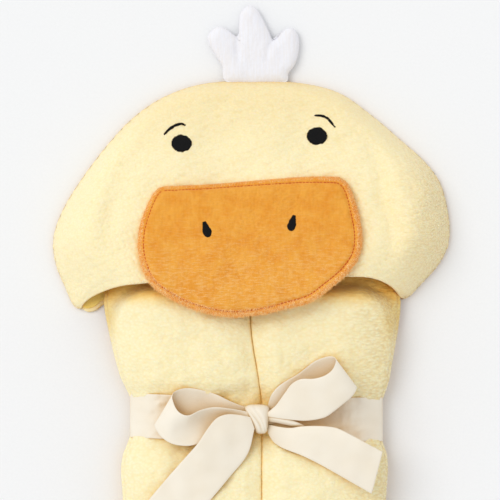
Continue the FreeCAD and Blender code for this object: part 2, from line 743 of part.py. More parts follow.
def make_parts(doc, dims):
    """Every sub-part of the towel, in the order in which they are listed."""
    parts = [
        make_towel_body(doc, dims),
        make_hood_face_panel(doc, dims),
        make_hood_lining(doc, dims),
        make_hood_back_panel(doc, dims),
        make_crown_seam(doc, dims),
        make_neck_seam(doc, dims),
        make_eye(doc, dims, "left", dims.eye_left_at),
        make_eye(doc, dims, "right", dims.eye_right_at),
        make_brow(doc, dims, "left", dims.brow_left_at, dims.brow_left_lean),
        make_brow(doc, dims, "right", dims.brow_right_at, dims.brow_right_lean),
        make_nostril(doc, dims, "left", -dims.nostril_at, dims.nostril_lean),
        make_nostril(doc, dims, "right", dims.nostril_at, -dims.nostril_lean),
        make_ribbon_band(doc, dims),
        make_ribbon_knot(doc, dims),
    ]
    return parts + make_bill(doc, dims) + make_tuft(doc, dims) + make_bow(doc, dims)


def check(doc, parts):
    """Stop if any feature failed or any sub-part is missing or invalid."""
    for thing in doc.Objects:
        if "Invalid" in thing.State or "Error" in thing.State:
            raise RuntimeError(f"{thing.Name} failed: {thing.State}")
    for part in parts:
        if part.Shape.isNull() or not part.Shape.isValid() or not part.Shape.Solids:
            raise RuntimeError(f"{part.Label} has no valid solid")


def main():
    doc = FreeCAD.newDocument("hooded_towel")
    dims = Dimensions(doc)
    doc.recompute()
    parts = make_parts(doc, dims)
    doc.recompute()
    for part in parts:
        part.Label = part.Name
    check(doc, parts)
    os.makedirs("parts", exist_ok=True)
    for part in parts:
        part.Shape.exportStep(f"parts/{part.Label}.step")
        box = part.Shape.BoundBox
        print(f"{part.Label}: {part.Shape.Volume:.0f} mm3, {len(part.Shape.Solids)} solid, "
              f"X {box.XMin:.1f}..{box.XMax:.1f} Y {box.YMin:.1f}..{box.YMax:.1f} "
              f"Z {box.ZMin:.1f}..{box.ZMax:.1f}")


main()
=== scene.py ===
"""Looks of the hooded baby towel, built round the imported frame. Shapes are written in millimetres."""
import math

import bmesh
import bpy
import numpy as np
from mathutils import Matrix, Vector


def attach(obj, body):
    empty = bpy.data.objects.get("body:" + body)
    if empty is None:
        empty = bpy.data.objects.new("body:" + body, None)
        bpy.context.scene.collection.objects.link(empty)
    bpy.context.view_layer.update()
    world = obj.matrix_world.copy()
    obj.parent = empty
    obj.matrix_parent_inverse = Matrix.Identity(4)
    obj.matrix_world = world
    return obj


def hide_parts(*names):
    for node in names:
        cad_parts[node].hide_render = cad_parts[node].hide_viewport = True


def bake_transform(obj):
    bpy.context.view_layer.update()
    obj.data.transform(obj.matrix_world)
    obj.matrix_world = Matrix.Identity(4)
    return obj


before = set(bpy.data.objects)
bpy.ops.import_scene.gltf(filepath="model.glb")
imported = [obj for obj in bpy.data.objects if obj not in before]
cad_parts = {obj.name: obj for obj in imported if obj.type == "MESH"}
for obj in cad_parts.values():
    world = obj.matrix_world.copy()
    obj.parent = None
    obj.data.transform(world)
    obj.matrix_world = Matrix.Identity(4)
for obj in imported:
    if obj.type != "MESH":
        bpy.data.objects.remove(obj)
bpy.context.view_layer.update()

MM = 0.001

# The hood's face is a plane that slopes down towards the crown and is turned a little on the table.
FACE_HEIGHT = 58.0
FACE_SLOPE = math.tan(math.radians(13.7))
HOOD_TURN = math.radians(3)

CLOTH = 2.9          # thickness of the terry
SATIN = 0.5          # thickness of the ribbon
WAIST_MIDDLE = -119.0
RIBBON_WIDE = 38.0

# Left corner, over the crown, to the right corner.
HOOD_EDGE = [
    (-149, -24.8), (-155, -21), (-162, -5), (-169.5, 14), (-171.5, 36), (-163, 61), (-145, 90),
    (-121, 121), (-99, 143), (-74, 159), (-42, 169.5), (0, 172.5), (40, 170.5), (75, 162), (103, 143),
    (129, 121), (151, 101), (164, 82), (170.5, 56), (171.3, 37), (168, 24), (159, 10), (147, -3),
    (138, -12.5), (131.5, -16),
]
# The hood's free edge over the towel, from the same left corner to the same right corner.
BRIM = [
    (-149, -24.8), (-146.5, -20), (-139, -14), (-126, -8), (-111, -3.7), (-93, -1.6), (-40, 4), (0, 7),
    (45, 7), (84, 4), (99, 3.3), (111.5, 0.1), (121.5, -5.5), (126.5, -10.5), (128.6, -14.4),
    (131.5, -16),
]
BILL_EDGE = [
    (-79, 79), (-87, 69), (-94, 52), (-97, 34), (-95, 16), (-87, -2), (-72, -14), (-49, -25), (-20, -31),
    (8, -29), (30, -24), (51, -18), (68, -6), (82, 6), (92, 21), (94.5, 38), (91, 60), (84, 80),
    (78, 86.5), (71, 88.5), (44, 88.3), (8, 85.5), (-36, 82), (-63, 80.7),
]
TUFT_EDGE = [
    (-19, 171.5), (-25, 186), (-31, 196), (-37.5, 208), (-36.5, 214.5), (-29, 220), (-21, 217.5),
    (-14, 212), (-11, 214), (-10.5, 223), (-9, 232), (-3.5, 238), (0.5, 238), (5, 235), (10, 226),
    (14.5, 217), (18.5, 209), (23, 211.5), (27.5, 216.5), (33.5, 219), (38, 217), (41, 209), (40.5, 198),
    (37.5, 188), (32, 180), (26.5, 171.5),
]


# ---- curves and fields


def points(x, y, z):
    """Grid of points from three matching tables."""
    return np.stack([x, y, z], axis=2)


def unit(vectors):
    """The same directions with a length of 1."""
    return vectors / np.maximum(np.linalg.norm(vectors, axis=-1, keepdims=True), 1e-9)


def heading(line):
    """Direction of travel at each point of an open line."""
    return unit(np.gradient(line, axis=0))


def heading_round(line):
    """Direction of travel at each point of a closed line."""
    return unit(np.roll(line, -1, 0) - np.roll(line, 1, 0))


def beside(along):
    """Directions in plan to the left of travel."""
    return np.column_stack([-along[:, 1], along[:, 0]])


def smooth_curve(chosen, per_span=16, closed=False):
    """Catmull-Rom curve through a few chosen points."""
    p = np.array(chosen, float)
    if closed:
        p = np.vstack([p[-1], p, p[0], p[1]])
    else:
        p = np.vstack([2 * p[0] - p[1], p, 2 * p[-1] - p[-2]])
    t = np.linspace(0, 1, per_span, endpoint=False)[:, None]
    spans = []
    for a, b, c, d in zip(p, p[1:], p[2:], p[3:]):
        square = 2 * a - 5 * b + 4 * c - d
        cube = 3 * b - a - 3 * c + d
        spans.append(0.5 * (2 * b + (c - a) * t + square * t**2 + cube * t**3))
    spans.append(p[-2:-1])
    return np.vstack(spans)


def evenly(line, count):
    """The same line as a given number of evenly spaced points."""
    steps = np.linalg.norm(np.diff(line, axis=0), axis=1)
    along = np.concatenate([[0], np.cumsum(steps)])
    where = np.linspace(0, along[-1], count)
    return np.stack([np.interp(where, along, column) for column in line.T], axis=1)


def spaced(chosen, count):
    """Smooth curve through a few chosen points, as evenly spaced points."""
    return evenly(smooth_curve(chosen), count)


def outline(chosen, count):
    """Closed smooth outline as evenly spaced points, without the repeat of the first."""
    return evenly(smooth_curve(chosen, closed=True), count + 1)[:-1]


def ripple(x, y, wavelength, seed, waves=9):
    """Smooth random relief of about unit height: a few crossed waves."""
    rng = np.random.default_rng(seed)
    total = np.zeros(np.shape(x))
    for _ in range(waves):
        angle, phase = rng.uniform(0, 2 * math.pi, 2)
        pull = 2 * math.pi / wavelength * rng.uniform(0.6, 1.6)
        total += np.sin(pull * (x * math.cos(angle) + y * math.sin(angle)) + phase)
    return total * math.sqrt(2 / waves)


def smooth_step(value, low, high):
    """0 below low, 1 above high, smooth in between."""
    t = np.clip((value - low) / (high - low), 0, 1)
    return t * t * (3 - 2 * t)


def crease(x, y, line, width, depth):
    """Soft ridge (or valley, if depth is negative) along a few points, which dies out at its two ends."""
    path = smooth_curve(line, 8)
    nearest = np.full(np.shape(x), 1e9)
    place = np.zeros(np.shape(x))
    for count, (px, py) in enumerate(path):
        gap = (x - px) ** 2 + (y - py) ** 2
        closer = gap < nearest
        nearest = np.where(closer, gap, nearest)
        place = np.where(closer, count / (len(path) - 1), place)
    return depth * np.exp(-nearest / width**2) * np.sin(math.pi * np.clip(place, 0.02, 0.98)) ** 0.6


def creases(x, y, folds):
    """Several creases together, each given as its line, width and depth."""
    return sum(crease(x, y, *fold) for fold in folds)


def edge_distance(x, y, edge):
    """Distance in plan from each point to the nearest point of an outline."""
    nearest = np.full(np.shape(x), 1e9)
    for px, py in edge:
        nearest = np.minimum(nearest, (x - px) ** 2 + (y - py) ** 2)
    return np.sqrt(nearest)


# ---- meshes

def make_object(name, verts, faces, material, weld=False, smooth=True):
    """Mesh object from points in millimetres."""
    mesh = bpy.data.meshes.new(name)
    mesh.from_pydata((np.asarray(verts) * MM).tolist(), [], faces)
    if weld:
        work = bmesh.new()
        work.from_mesh(mesh)
        bmesh.ops.remove_doubles(work, verts=work.verts, dist=2e-6)
        bmesh.ops.dissolve_degenerate(work, edges=work.edges, dist=1e-6)
        work.to_mesh(mesh)
        work.free()
    mesh.polygons.foreach_set("use_smooth", [smooth] * len(mesh.polygons))
    mesh.materials.append(material)
    obj = bpy.data.objects.new(name, mesh)
    bpy.context.scene.collection.objects.link(obj)
    return obj


def grid_faces(rows, cols, wrap):
    """Four-sided faces of a grid of points, joined round on itself if it wraps."""
    index = np.arange(rows * cols).reshape(rows, cols)
    if wrap:
        index = np.hstack([index, index[:, :1]])
    corners = [index[:-1, :-1], index[:-1, 1:], index[1:, 1:], index[1:, :-1]]
    return np.stack([c.ravel() for c in corners], axis=1)


def grid_normals(grid, wrap):
    """Upward direction at each point of a grid."""
    if wrap:
        across = np.roll(grid, -1, 1) - np.roll(grid, 1, 1)
    else:
        across = np.gradient(grid, axis=1)
    return unit(np.cross(across, np.gradient(grid, axis=0)))


def grid_borders(rows, cols, wrap):
    """Rings of point numbers round a grid's free edges, and the numbers of the points just inside them."""
    index = np.arange(rows * cols).reshape(rows, cols)
    inner_row = np.clip(np.arange(rows), 1, rows - 2)
    inner_col = np.arange(cols) if wrap else np.clip(np.arange(cols), 1, cols - 2)
    inside = index[np.ix_(inner_row, inner_col)].ravel()
    if wrap:
        rings = [index[0], index[-1, ::-1]]
    else:
        rings = [np.concatenate([index[0, :-1], index[:-1, -1], index[-1, :0:-1], index[:0:-1, 0]])]
    return rings, inside


def thick_sheet(name, grid, thickness, material, wrap=False, weld=False):
    """Closed sheet of cloth with rounded rims, of a given thickness about a grid of points."""
    rows, cols = grid.shape[:2]
    middle = grid.reshape(-1, 3)
    normals = grid_normals(grid, wrap)
    if weld:
        normals[-1] = normals[-2].mean(axis=0)
    offset = normals.reshape(-1, 3) * np.reshape(thickness, (-1, 1)) / 2
    half = float(np.mean(thickness)) / 2
    total = rows * cols
    verts = [middle + offset, middle - offset]
    top = grid_faces(rows, cols, wrap)
    faces = [top, top[:, ::-1] + total]
    rings, inside = grid_borders(rows, cols, wrap)
    if weld:
        rings = rings[:1]
    count = total * 2
    for ring in rings:
        outward = unit(middle[ring] - middle[inside[ring]])
        verts.append(middle[ring] + outward * half)
        rim = count + np.arange(len(ring))
        after, rim_after = np.roll(ring, -1), np.roll(rim, -1)
        faces.append(np.stack([after, ring, rim, rim_after], axis=1))
        faces.append(np.stack([rim_after, rim, ring + total, after + total], axis=1))
        count += len(ring)
    return make_object(name, np.vstack(verts), np.vstack(faces).tolist(), material, weld)


def polar_plan(edge, centre, rings):
    """Rings of points in plan from an outline in to its centre: x and y, rings by points round."""
    share = (1 - np.linspace(0, 1, rings))[:, None]
    x = centre[0] + (edge[:, 0] - centre[0]) * share
    y = centre[1] + (edge[:, 1] - centre[1]) * share
    return x, y


def closed_pillow(name, x, y, low, high, material):
    """Closed stuffed form between a lower and an upper surface over the same rings of points."""
    upper = points(x, y, high).reshape(-1, 3)
    lower = points(x, y, low).reshape(-1, 3)
    rows, cols = x.shape
    faces = grid_faces(rows, cols, True)
    ring = np.arange(cols)
    after = np.roll(ring, -1)
    side = np.stack([after, ring, ring + rows * cols, after + rows * cols], axis=1)
    if edge_turn(x[0], y[0]) > 0:
        quads = [faces, faces[:, ::-1] + rows * cols, side]
    else:
        quads = [faces[:, ::-1], faces + rows * cols, side[:, ::-1]]
    return make_object(name, np.vstack([upper, lower]), np.vstack(quads).tolist(), material, weld=True)


def edge_turn(x, y):
    """Positive if an outline runs anticlockwise."""
    return float(np.sum(x * np.roll(y, -1) - y * np.roll(x, -1)))


def tube(path, across, radius, sides=6):
    """Points and faces of a thread along a path. across is its width and radius its height."""
    path = np.asarray(path, float)
    along = heading(path)
    side = unit(np.cross(along, (0.0, 0.0, 1.0)))
    over = np.cross(side, along)
    turns = np.linspace(0, 2 * math.pi, sides, endpoint=False)
    ring = [path + side * across * math.cos(a) + over * radius * math.sin(a) for a in turns]
    verts = np.stack(ring, axis=1).reshape(-1, 3)
    faces = grid_faces(len(path), sides, True)[:, ::-1].tolist()
    faces.append(list(range(sides)))
    faces.append(list(range(len(verts) - 1, len(verts) - sides - 1, -1)))
    return verts, faces


def join_tubes(name, tubes, material):
    """One object from several tubes."""
    verts, faces, count = [], [], 0
    for ring_points, quads in tubes:
        verts.append(ring_points)
        faces += [[i + count for i in face] for face in quads]
        count += len(ring_points)
    return make_object(name, np.vstack(verts), faces, material)


def on_root(obj):
    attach(obj, "root")


def settle(obj, node, slot, move, fill=None, **sheet):
    """Hides the imported part that a piece stands for, if there is one, and moves the piece."""
    if node:
        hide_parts(node)
    move(obj)


# ---- materials

class Nodes:
    """Short calls for building a node tree."""

    def __init__(self, name):
        self.material = bpy.data.materials.new(name)
        self.material.use_nodes = True
        self.tree = self.material.node_tree
        self.shader = self.tree.nodes["Principled BSDF"]
        self.place = self.tree.nodes.new("ShaderNodeTexCoord").outputs["Object"]

    def link(self, source, target):
        self.tree.links.new(source, target)

    def node(self, kind, source=None, **values):
        """New node with some of its inputs set, and its Vector fed by source."""
        node = self.tree.nodes.new("ShaderNode" + kind)
        if source is not None:
            self.link(source, node.inputs["Vector"])
        for name, value in values.items():
            node.inputs[name.replace("_", " ")].default_value = value
        return node

    def stretched(self, scale):
        """Place, scaled by a different amount along each axis."""
        return self.node("Mapping", self.place, Scale=scale).outputs["Vector"]

    def noise(self, size_mm, detail=2.0, rough=0.5):
        """Smooth random patches of about this size."""
        node = self.node("TexNoise", self.place, Scale=1 / (size_mm * MM), Detail=detail, Roughness=rough)
        return node.outputs["Fac"]

    def streaks(self, density, detail=2.0, rough=0.5):
        """Smooth random streaks, with a density for each axis."""
        place = self.stretched(density)
        return self.node("TexNoise", place, Scale=1.0, Detail=detail, Roughness=rough).outputs["Fac"]

    def cells(self, size_mm, stretch):
        """Round cells of about this size, pressed together or drawn out along each axis."""
        node = self.node("TexVoronoi", self.stretched(stretch), Scale=0.8 / (size_mm * MM))
        node.feature = "SMOOTH_F1"
        node.inputs["Smoothness"].default_value = 0.4
        return node.outputs["Distance"]

    def ribs(self, pitch_mm):
        """Slightly uneven ribs, side by side along x."""
        node = self.node("TexWave", self.place, Scale=1 / (pitch_mm * MM) / 3.14, Distortion=0.6,
                         Detail=2.0, Detail_Scale=1.5)
        node.bands_direction = "X"
        return node.outputs["Fac"]

    def span(self, axis, low_mm, high_mm):
        """0 below one place along an axis (0 is x, 1 is y), 1 above another, smooth in between."""
        split = self.node("SeparateXYZ", self.place)
        node = self.node("MapRange", From_Min=low_mm * MM, From_Max=high_mm * MM)
        node.interpolation_type = "SMOOTHSTEP"
        self.link(split.outputs[axis], node.inputs["Value"])
        return node.outputs["Result"]

    def openness(self, reach_mm):
        """How open a point is to the sky: 0 deep in a fold, 1 on a free surface."""
        node = self.node("AmbientOcclusion", Distance=reach_mm * MM)
        node.samples = 8
        return node.outputs["AO"]

    def paint_fold_shade(self, color, tint, reach_mm, low=0.15, high=0.85):
        """The colour with painted shade: darker and richer where ambient occlusion finds a fold, standing in
        for light that only comes in by way of neighbouring pile.
        """
        return self.times(color, self.ramp(self.openness(reach_mm), [(low, tint), (high, (1, 1, 1))]))

    def ramp(self, factor, stops):
        node = self.node("ValToRGB")
        ramp = node.color_ramp
        while len(ramp.elements) < len(stops):
            ramp.elements.new(0.5)
        for element, (position, color) in zip(ramp.elements, stops):
            element.position = position
            element.color = (*color, 1)
        self.link(factor, node.inputs["Fac"])
        return node.outputs["Color"]

    def math(self, operation, a, b):
        node = self.node("Math")
        node.operation = operation
        for socket, value in zip(node.inputs, (a, b)):
            if isinstance(value, (int, float)):
                socket.default_value = value
            else:
                self.link(value, socket)
        return node.outputs["Value"]

    def mix(self, factor, a, b, mode="MIX"):
        node = self.node("Mix")
        node.data_type = "RGBA"
        node.blend_type = mode
        for name, value in (("Factor", factor), ("A", a), ("B", b)):
            colored = name != "Factor"
            socket = next(s for s in node.inputs if s.name == name and (s.type == "RGBA") == colored)
            if isinstance(value, (int, float)):
                socket.default_value = value
            elif isinstance(value, tuple):
                socket.default_value = (*value, 1)
            else:
                self.link(value, socket)
        return next(s for s in node.outputs if s.type == "RGBA")

    def times(self, color, tint):
        return self.mix(1.0, color, tint, "MULTIPLY")

    def bump(self, height, distance, strength=1.0, below=None):
        node = self.node("Bump", Distance=distance * MM, Strength=strength)
        self.link(height, node.inputs["Height"])
        if below is not None:
            self.link(below, node.inputs["Normal"])
        return node.outputs["Normal"]

    def finish(self, color, normal, roughness=0.9, sheen=0.0, sheen_rough=0.5, specular=0.3, **values):
        """Joins colour and relief to the shader, and sets its uniform values."""
        self.link(color, self.shader.inputs["Base Color"])
        self.link(normal, self.shader.inputs["Normal"])
        values.update(Roughness=roughness, Sheen_Weight=sheen, Sheen_Roughness=sheen_rough,
                      Specular_IOR_Level=specular)
        for name, value in values.items():
            self.shader.inputs[name.replace("_", " ")].default_value = value
        return self.material


def linear(red, green, blue):
    """Colour in linear light from the usual 0-255 values."""
    values = []
    for c in (red, green, blue):
        c /= 255
        values.append(c / 12.92 if c <= 0.04045 else ((c + 0.055) / 1.055) ** 2.4)
    return tuple(values)


def shade(color, amount):
    return tuple(c * amount for c in color)


def terry(name, pile, root, loop_mm, depth, coarse_from, coarse_to, painted_shade_zones):
    """Terry: loops in loose rows, coarser towards the right side, where painted shade browns the gaps
    between the loops.

    zones are places tinted with painted shade: the tint, and spans that bound it.
    """
    n = Nodes(name)
    loops = n.cells(loop_mm, (0.8, 1.15, 1.0))
    coarse = n.cells(loop_mm, (0.42, 1.3, 1.0))
    rows = n.streaks((110, 520, 300))
    clumps = n.noise(9, 3.0, 0.55)
    fine = n.noise(0.8, 2.0, 0.6)
    deep = n.math("ADD", n.math("MULTIPLY", loops, 0.75), n.math("MULTIPLY", fine, 0.35))
    side = n.span(0, coarse_from, coarse_to)
    color = n.ramp(deep, [(0.3, pile), (0.95, root)])
    color = n.times(color, n.ramp(clumps, [(0.3, (0.985, 0.975, 0.94)), (0.7, (1, 1, 1))]))
    # Painted shade: on the side away from the light, the gaps between the coarse loops are browned.
    painted_gap_shade = n.ramp(n.math("MULTIPLY", n.math("ADD", coarse, n.math("MULTIPLY", rows, 0.5)), 0.7),
                  [(0.36, (1, 1, 1)), (0.68, (0.9, 0.82, 0.72))])
    color = n.mix(side, color, n.times(color, painted_gap_shade))
    # Each zone multiplies the colour by its painted shade tint.
    for tint, spans in painted_shade_zones:
        here = 1.0
        for axis, low, high in spans:
            here = n.math("MULTIPLY", n.span(axis, low, high), here)
        color = n.mix(here, color, n.times(color, tint))
    # Painted shade: golden in folds found by ambient occlusion.
    color = n.paint_fold_shade(color, (0.95, 0.68, 0.28), 30, 0.2, 0.88)
    normal = n.bump(clumps, 0.8, 0.4)
    normal = n.bump(rows, 0.4, 0.5, normal)
    rough = n.math("MULTIPLY", n.math("SUBTRACT", 1.0, coarse), side)
    normal = n.bump(rough, 1.1, 0.8, normal)
    normal = n.bump(n.math("SUBTRACT", 1.0, deep), depth, 0.8, normal)
    return n.finish(color, normal, 0.95, 0.25, 0.45, 0.1, Subsurface_Weight=0.15,
                    Subsurface_Radius=(1.0, 0.7, 0.35), Subsurface_Scale=0.006)


def velour(name, pile, root, tip, tint, nap):
    """Short cut pile brushed in fine level rows of paler tips, with a painted highlight that makes them
    stronger towards its lower edge.
    """
    n = Nodes(name)
    rows = n.streaks((170, 900, 400), 3.0, 0.6)
    ribs = n.streaks((620, 60, 400))
    clumps = n.noise(12, 4.0, 0.65)
    fine = n.noise(0.7, 2.0, 0.6)
    color = n.ramp(clumps, [(0.35, root), (0.6, pile)])
    tips = n.ramp(n.math("ADD", n.math("MULTIPLY", rows, 0.6), n.math("MULTIPLY", fine, 0.4)),
                  [(0.46, (0, 0, 0)), (0.64, (1, 1, 1))])
    # Painted highlight: the pale tips are made stronger towards the lower edge.
    low = n.math("ADD", n.math("MULTIPLY", n.span(1, 62, -10), 0.5 * nap), 0.15 * nap)
    color = n.mix(n.math("MULTIPLY", tips, low), color, tip)
    between = shade((1, 0.98, 0.95), 1 - 0.05 * nap)
    color = n.times(color, n.ramp(ribs, [(0.35, between), (0.6, (1, 1, 1))]))
    # Painted shade: the tint darkens folds found by ambient occlusion.
    color = n.paint_fold_shade(color, tint, 12)
    normal = n.bump(clumps, 0.9, 0.5)
    normal = n.bump(rows, 0.6 * nap, 0.7, normal)
    normal = n.bump(fine, 0.4 * nap, 0.7, normal)
    return n.finish(color, normal, 0.9, 0.25, 0.4, 0.1)


def knit(name, color, dark):
    """Smooth knit with fine ribs."""
    n = Nodes(name)
    tone = n.ramp(n.noise(14), [(0.3, dark), (0.7, color)])
    normal = n.bump(n.noise(7), 0.8, 0.4)
    return n.finish(tone, n.bump(n.ribs(1.1), 0.3, 0.6, normal), 0.85, 0.2, 0.4, 0.2)


def satin(name, color, dark):
    """Woven satin: fine ribs across the ribbon and a soft gloss."""
    n = Nodes(name)
    weave = n.streaks((2600, 2600, 900))
    soft = n.noise(22)
    tone = n.ramp(soft, [(0.3, dark), (0.7, color)])
    # Painted shade, warmed to stand in for light bounced off the towel into the ribbon's folds.
    tone = n.paint_fold_shade(tone, (0.84, 0.62, 0.32), 34, 0.3, 0.95)
    normal = n.bump(soft, 1.2, 0.35)
    normal = n.bump(weave, 0.12, 0.6, normal)
    return n.finish(tone, normal, 0.45, 0.15, 0.3, 0.4)


def thread(name, color, gloss=0.45):
    """Twisted sewing thread."""
    n = Nodes(name)
    twist = n.streaks((5000, 1600, 3000))
    tone = n.ramp(twist, [(0.3, shade(color, 0.7)), (0.7, color)])
    return n.finish(tone, n.bump(twist, 0.1, 0.6), gloss, 0.0, 0.3, 0.25)


def pile_look(name, pale, deep):
    """Separate tufts of pile, from pale to deep."""
    n = Nodes(name)
    patch = n.noise(2.5)
    tone = n.ramp(patch, [(0.35, deep), (0.6, pale)])
    return n.finish(tone, n.bump(patch, 0.05, 0.2), 0.95, 0.2, 0.4, 0.1)


def wadding(name):
    """Loose white fibre."""
    n = Nodes(name)
    fibres = n.streaks((700, 500, 900), 5.0, 0.7)
    tone = n.ramp(fibres, [(0.3, (0.72, 0.72, 0.70)), (0.7, (0.9, 0.9, 0.88))])
    return n.finish(tone, n.bump(fibres, 1.0, 0.7), 0.95, 0.3, 0.5, 0.1)


# Painted shade: the mouth of the hood and the towel's two shoulders are tinted golden and brown, standing in
# for light that reaches them only by way of the cloth around them.
MOUTH_SHADE_PAINT, SHOULDER_SHADE_PAINT = (1.0, 0.76, 0.36), (0.92, 0.80, 0.57)
TOWEL = terry("towel_terry_look", linear(255, 244, 204), linear(252, 233, 180), 2.1, 0.7, 60, 122, [
    (MOUTH_SHADE_PAINT, [(1, -26, -8)]),
    (SHOULDER_SHADE_PAINT, [(0, 106, 122), (1, -62, -34)]),
    (SHOULDER_SHADE_PAINT, [(0, -112, -124), (1, -62, -34)]),
])
# Painted shade: the hood's colour is darkened a little towards the crown, where it slopes away.
HOOD = terry("hood_velour_look", linear(254, 241, 201), linear(251, 232, 180), 1.5, 0.35, 106, 168, [
    ((0.95, 0.91, 0.85), [(1, 95, 172)]),
])
LINING = knit("lining_knit_look", linear(255, 224, 126), linear(254, 210, 96))
# For each velour, the colour just before the last number is the tint of its painted fold shade.
BILL = velour("bill_velour_look", linear(238, 166, 64), linear(231, 150, 48), linear(250, 205, 136),
              (1.0, 0.72, 0.45), 1.0)
TUFT = velour("tuft_velour_look", linear(239, 239, 244), linear(237, 237, 243), linear(243, 243, 246),
              (0.88, 0.88, 0.93), 0.35)
BLACK = thread("eye_thread_look", linear(9, 8, 10), 0.7)
ORANGE_THREAD = thread("bill_thread_look", linear(218, 98, 34), 0.6)
YELLOW_THREAD = thread("seam_thread_look", linear(246, 226, 160))
SATIN_LOOK = satin("ribbon_satin_look", linear(242, 234, 218), linear(239, 229, 210))
BATTING = wadding("batting_look")
PEACH_PILE = pile_look("bill_pile_look", linear(255, 222, 160), linear(250, 188, 96))
YELLOW_PILE = pile_look("hood_pile_look", linear(255, 249, 222), linear(254, 240, 200))
WHITE_PILE = pile_look("tuft_pile_look", linear(250, 250, 252), linear(246, 246, 250))


# ---- hood

HOOD_OUTLINE = spaced(HOOD_EDGE, 420)


# Ridges, and valleys where the depth is negative: line, width, depth.
HOOD_FOLDS = [
    ([(92, 128), (108, 104), (114, 70), (121, 42), (118, 10)], 8, -4.2),
    ([(118, 104), (130, 74), (137, 42), (130, 12)], 10, 2.6),
    ([(-108, 110), (-118, 76), (-124, 40), (-119, 12)], 9, -2.2),
    ([(-124, 100), (-134, 62), (-137, 30)], 9, 1.6),
    ([(100, 74), (118, 64), (138, 66)], 5, -1.4),
    ([(126, 92), (140, 76), (152, 70)], 5, -1.2),
    ([(24, 170), (29, 158), (40, 146)], 4, -1.5),
    ([(-14, 170), (-20, 158), (-34, 150)], 4, -1.0),
]


def face_plane(x, y):
    """Height of the sloping plane that the face lies in."""
    up = y * math.cos(HOOD_TURN) - x * math.sin(HOOD_TURN)
    return FACE_HEIGHT - FACE_SLOPE * up


def hood_height(x, y):
    """Height of the hood's upper surface: the face plane, rounded steeply down to the sewn edge."""
    gap = edge_distance(x, y, HOOD_OUTLINE)
    near_corner = np.exp(-(((x + 150) / 40) ** 2 + ((y + 22) / 36) ** 2))
    side = 4.2 + 58 * (1 - np.exp(-gap / (23 + 30 * near_corner)))
    blend = 4.5
    height = -blend * np.log(np.exp(-side / blend) + np.exp(-face_plane(x, y) / blend))
    relief = ripple(x, y, 95, 3) * 0.9 + ripple(x, y, 34, 5) * 0.35 + creases(x, y, HOOD_FOLDS)
    return height + relief * smooth_step(gap, 3, 26)


def hood_grid(rows, cols, lowest=0.0, drop=0.0, brim_back=0.0):
    """Points over the hood from its sewn edge (first row) to its brim (last row)."""
    edge = spaced(HOOD_EDGE, cols)
    brim = spaced(BRIM, cols) + (0, brim_back)
    share = np.linspace(lowest, 1, rows)[:, None] ** 1.25
    x = edge[:, 0] + (brim[:, 0] - edge[:, 0]) * share
    y = edge[:, 1] + (brim[:, 1] - edge[:, 1]) * share
    return x, y, hood_height(x, y) - drop


def hang_on_hood(obj):
    """Bakes the piece's placement into its points."""
    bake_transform(obj)


def make_hood_face():
    x, y, z = hood_grid(112, 360, drop=CLOTH / 2)
    pile = ripple(x, y, 8, 11) * 0.2 + ripple(x * 0.7, y, 3.6, 12) * 0.12
    roll = smooth_step(edge_distance(x, y, HOOD_OUTLINE), 0, 3)
    obj = thick_sheet("hood_face_panel_cloth", points(x, y, z + pile * roll), CLOTH, HOOD)
    settle(obj, "hood_face_panel", "hood_velour", hang_on_hood, flat=(0.43, 0.26), held="draped", area=0.078,
           rests_on=["towel_body_cloth", "hood_back_panel_cloth"])


def make_hood_lining():
    x, y, z = hood_grid(52, 170, lowest=0.06, drop=CLOTH + 1.4, brim_back=1.5)
    obj = thick_sheet("hood_lining_cloth", points(x, y, np.maximum(z, 4.6)), 1.0, LINING)
    settle(obj, "hood_lining", "lining_knit", hang_on_hood, flat=(0.42, 0.25), held="draped", area=0.075,
           rests_on=["hood_face_panel_cloth"])


# The hood's lower panel reaches a little further out of the mouth at the two corners.
BACK_MOUTH = [
    (-149, -24.8), (-143.5, -27.3), (-136, -25.6), (-129, -20.5), (-112, -15.5), (-60, -14.6),
    (0, -14.6), (60, -14.6), (104, -14.8), (120, -15), (126, -15.5), (131.5, -16),
]


def make_hood_back():
    """Under panel of the hood with its own lining, whose corners show below the brim."""
    edge = spaced(HOOD_EDGE, 240)
    mouth = spaced(BACK_MOUTH, 240)
    share = np.linspace(0, 1, 60)[:, None] ** 1.2
    x = edge[:, 0] + (mouth[:, 0] - edge[:, 0]) * share
    y = edge[:, 1] + (mouth[:, 1] - edge[:, 1]) * share
    z = 1.75 + ripple(x, y, 40, 21) * 0.12
    obj = thick_sheet("hood_back_panel_cloth", points(x, y, z), 2.6, HOOD)
    settle(obj, "hood_back_panel", "hood_velour", on_root, flat=(0.345, 0.2), held="laid", area=0.055)
    gap = edge_distance(x, y, HOOD_OUTLINE)
    inner = points(x, y + 2.4 * share, np.full(x.shape, 3.75) + 0.2 * np.exp(-gap / 8))[5:-1]
    under = thick_sheet("hood_lining_under", inner[:, 4:-4], 0.7, LINING)
    settle(under, None, "lining_knit", on_root, flat=(0.345, 0.2), held="laid", area=0.055,
           rests_on=["hood_back_panel_cloth"])


# ---- embroidery

STITCH = 0.62        # width of one row of embroidery thread


def satin_stitch(name, chords, height, node, move, proud):
    """Rows of thread, each laid across a shape between two points, dipping into the cloth at its ends."""
    tubes = []
    for start, end in chords:
        start, end = np.array(start), np.array(end)
        t = np.linspace(0, 1, 11)
        plan = start + (end - start) * t[:, None]
        arch = proud * (1 - (2 * t - 1) ** 6) - 0.5
        z = height(plan[:, 0], plan[:, 1]) + arch
        tubes.append(tube(np.column_stack([plan, z]), STITCH * 0.56, 0.42))
    settle(join_tubes(name, tubes, BLACK), node, "eye_thread", move)


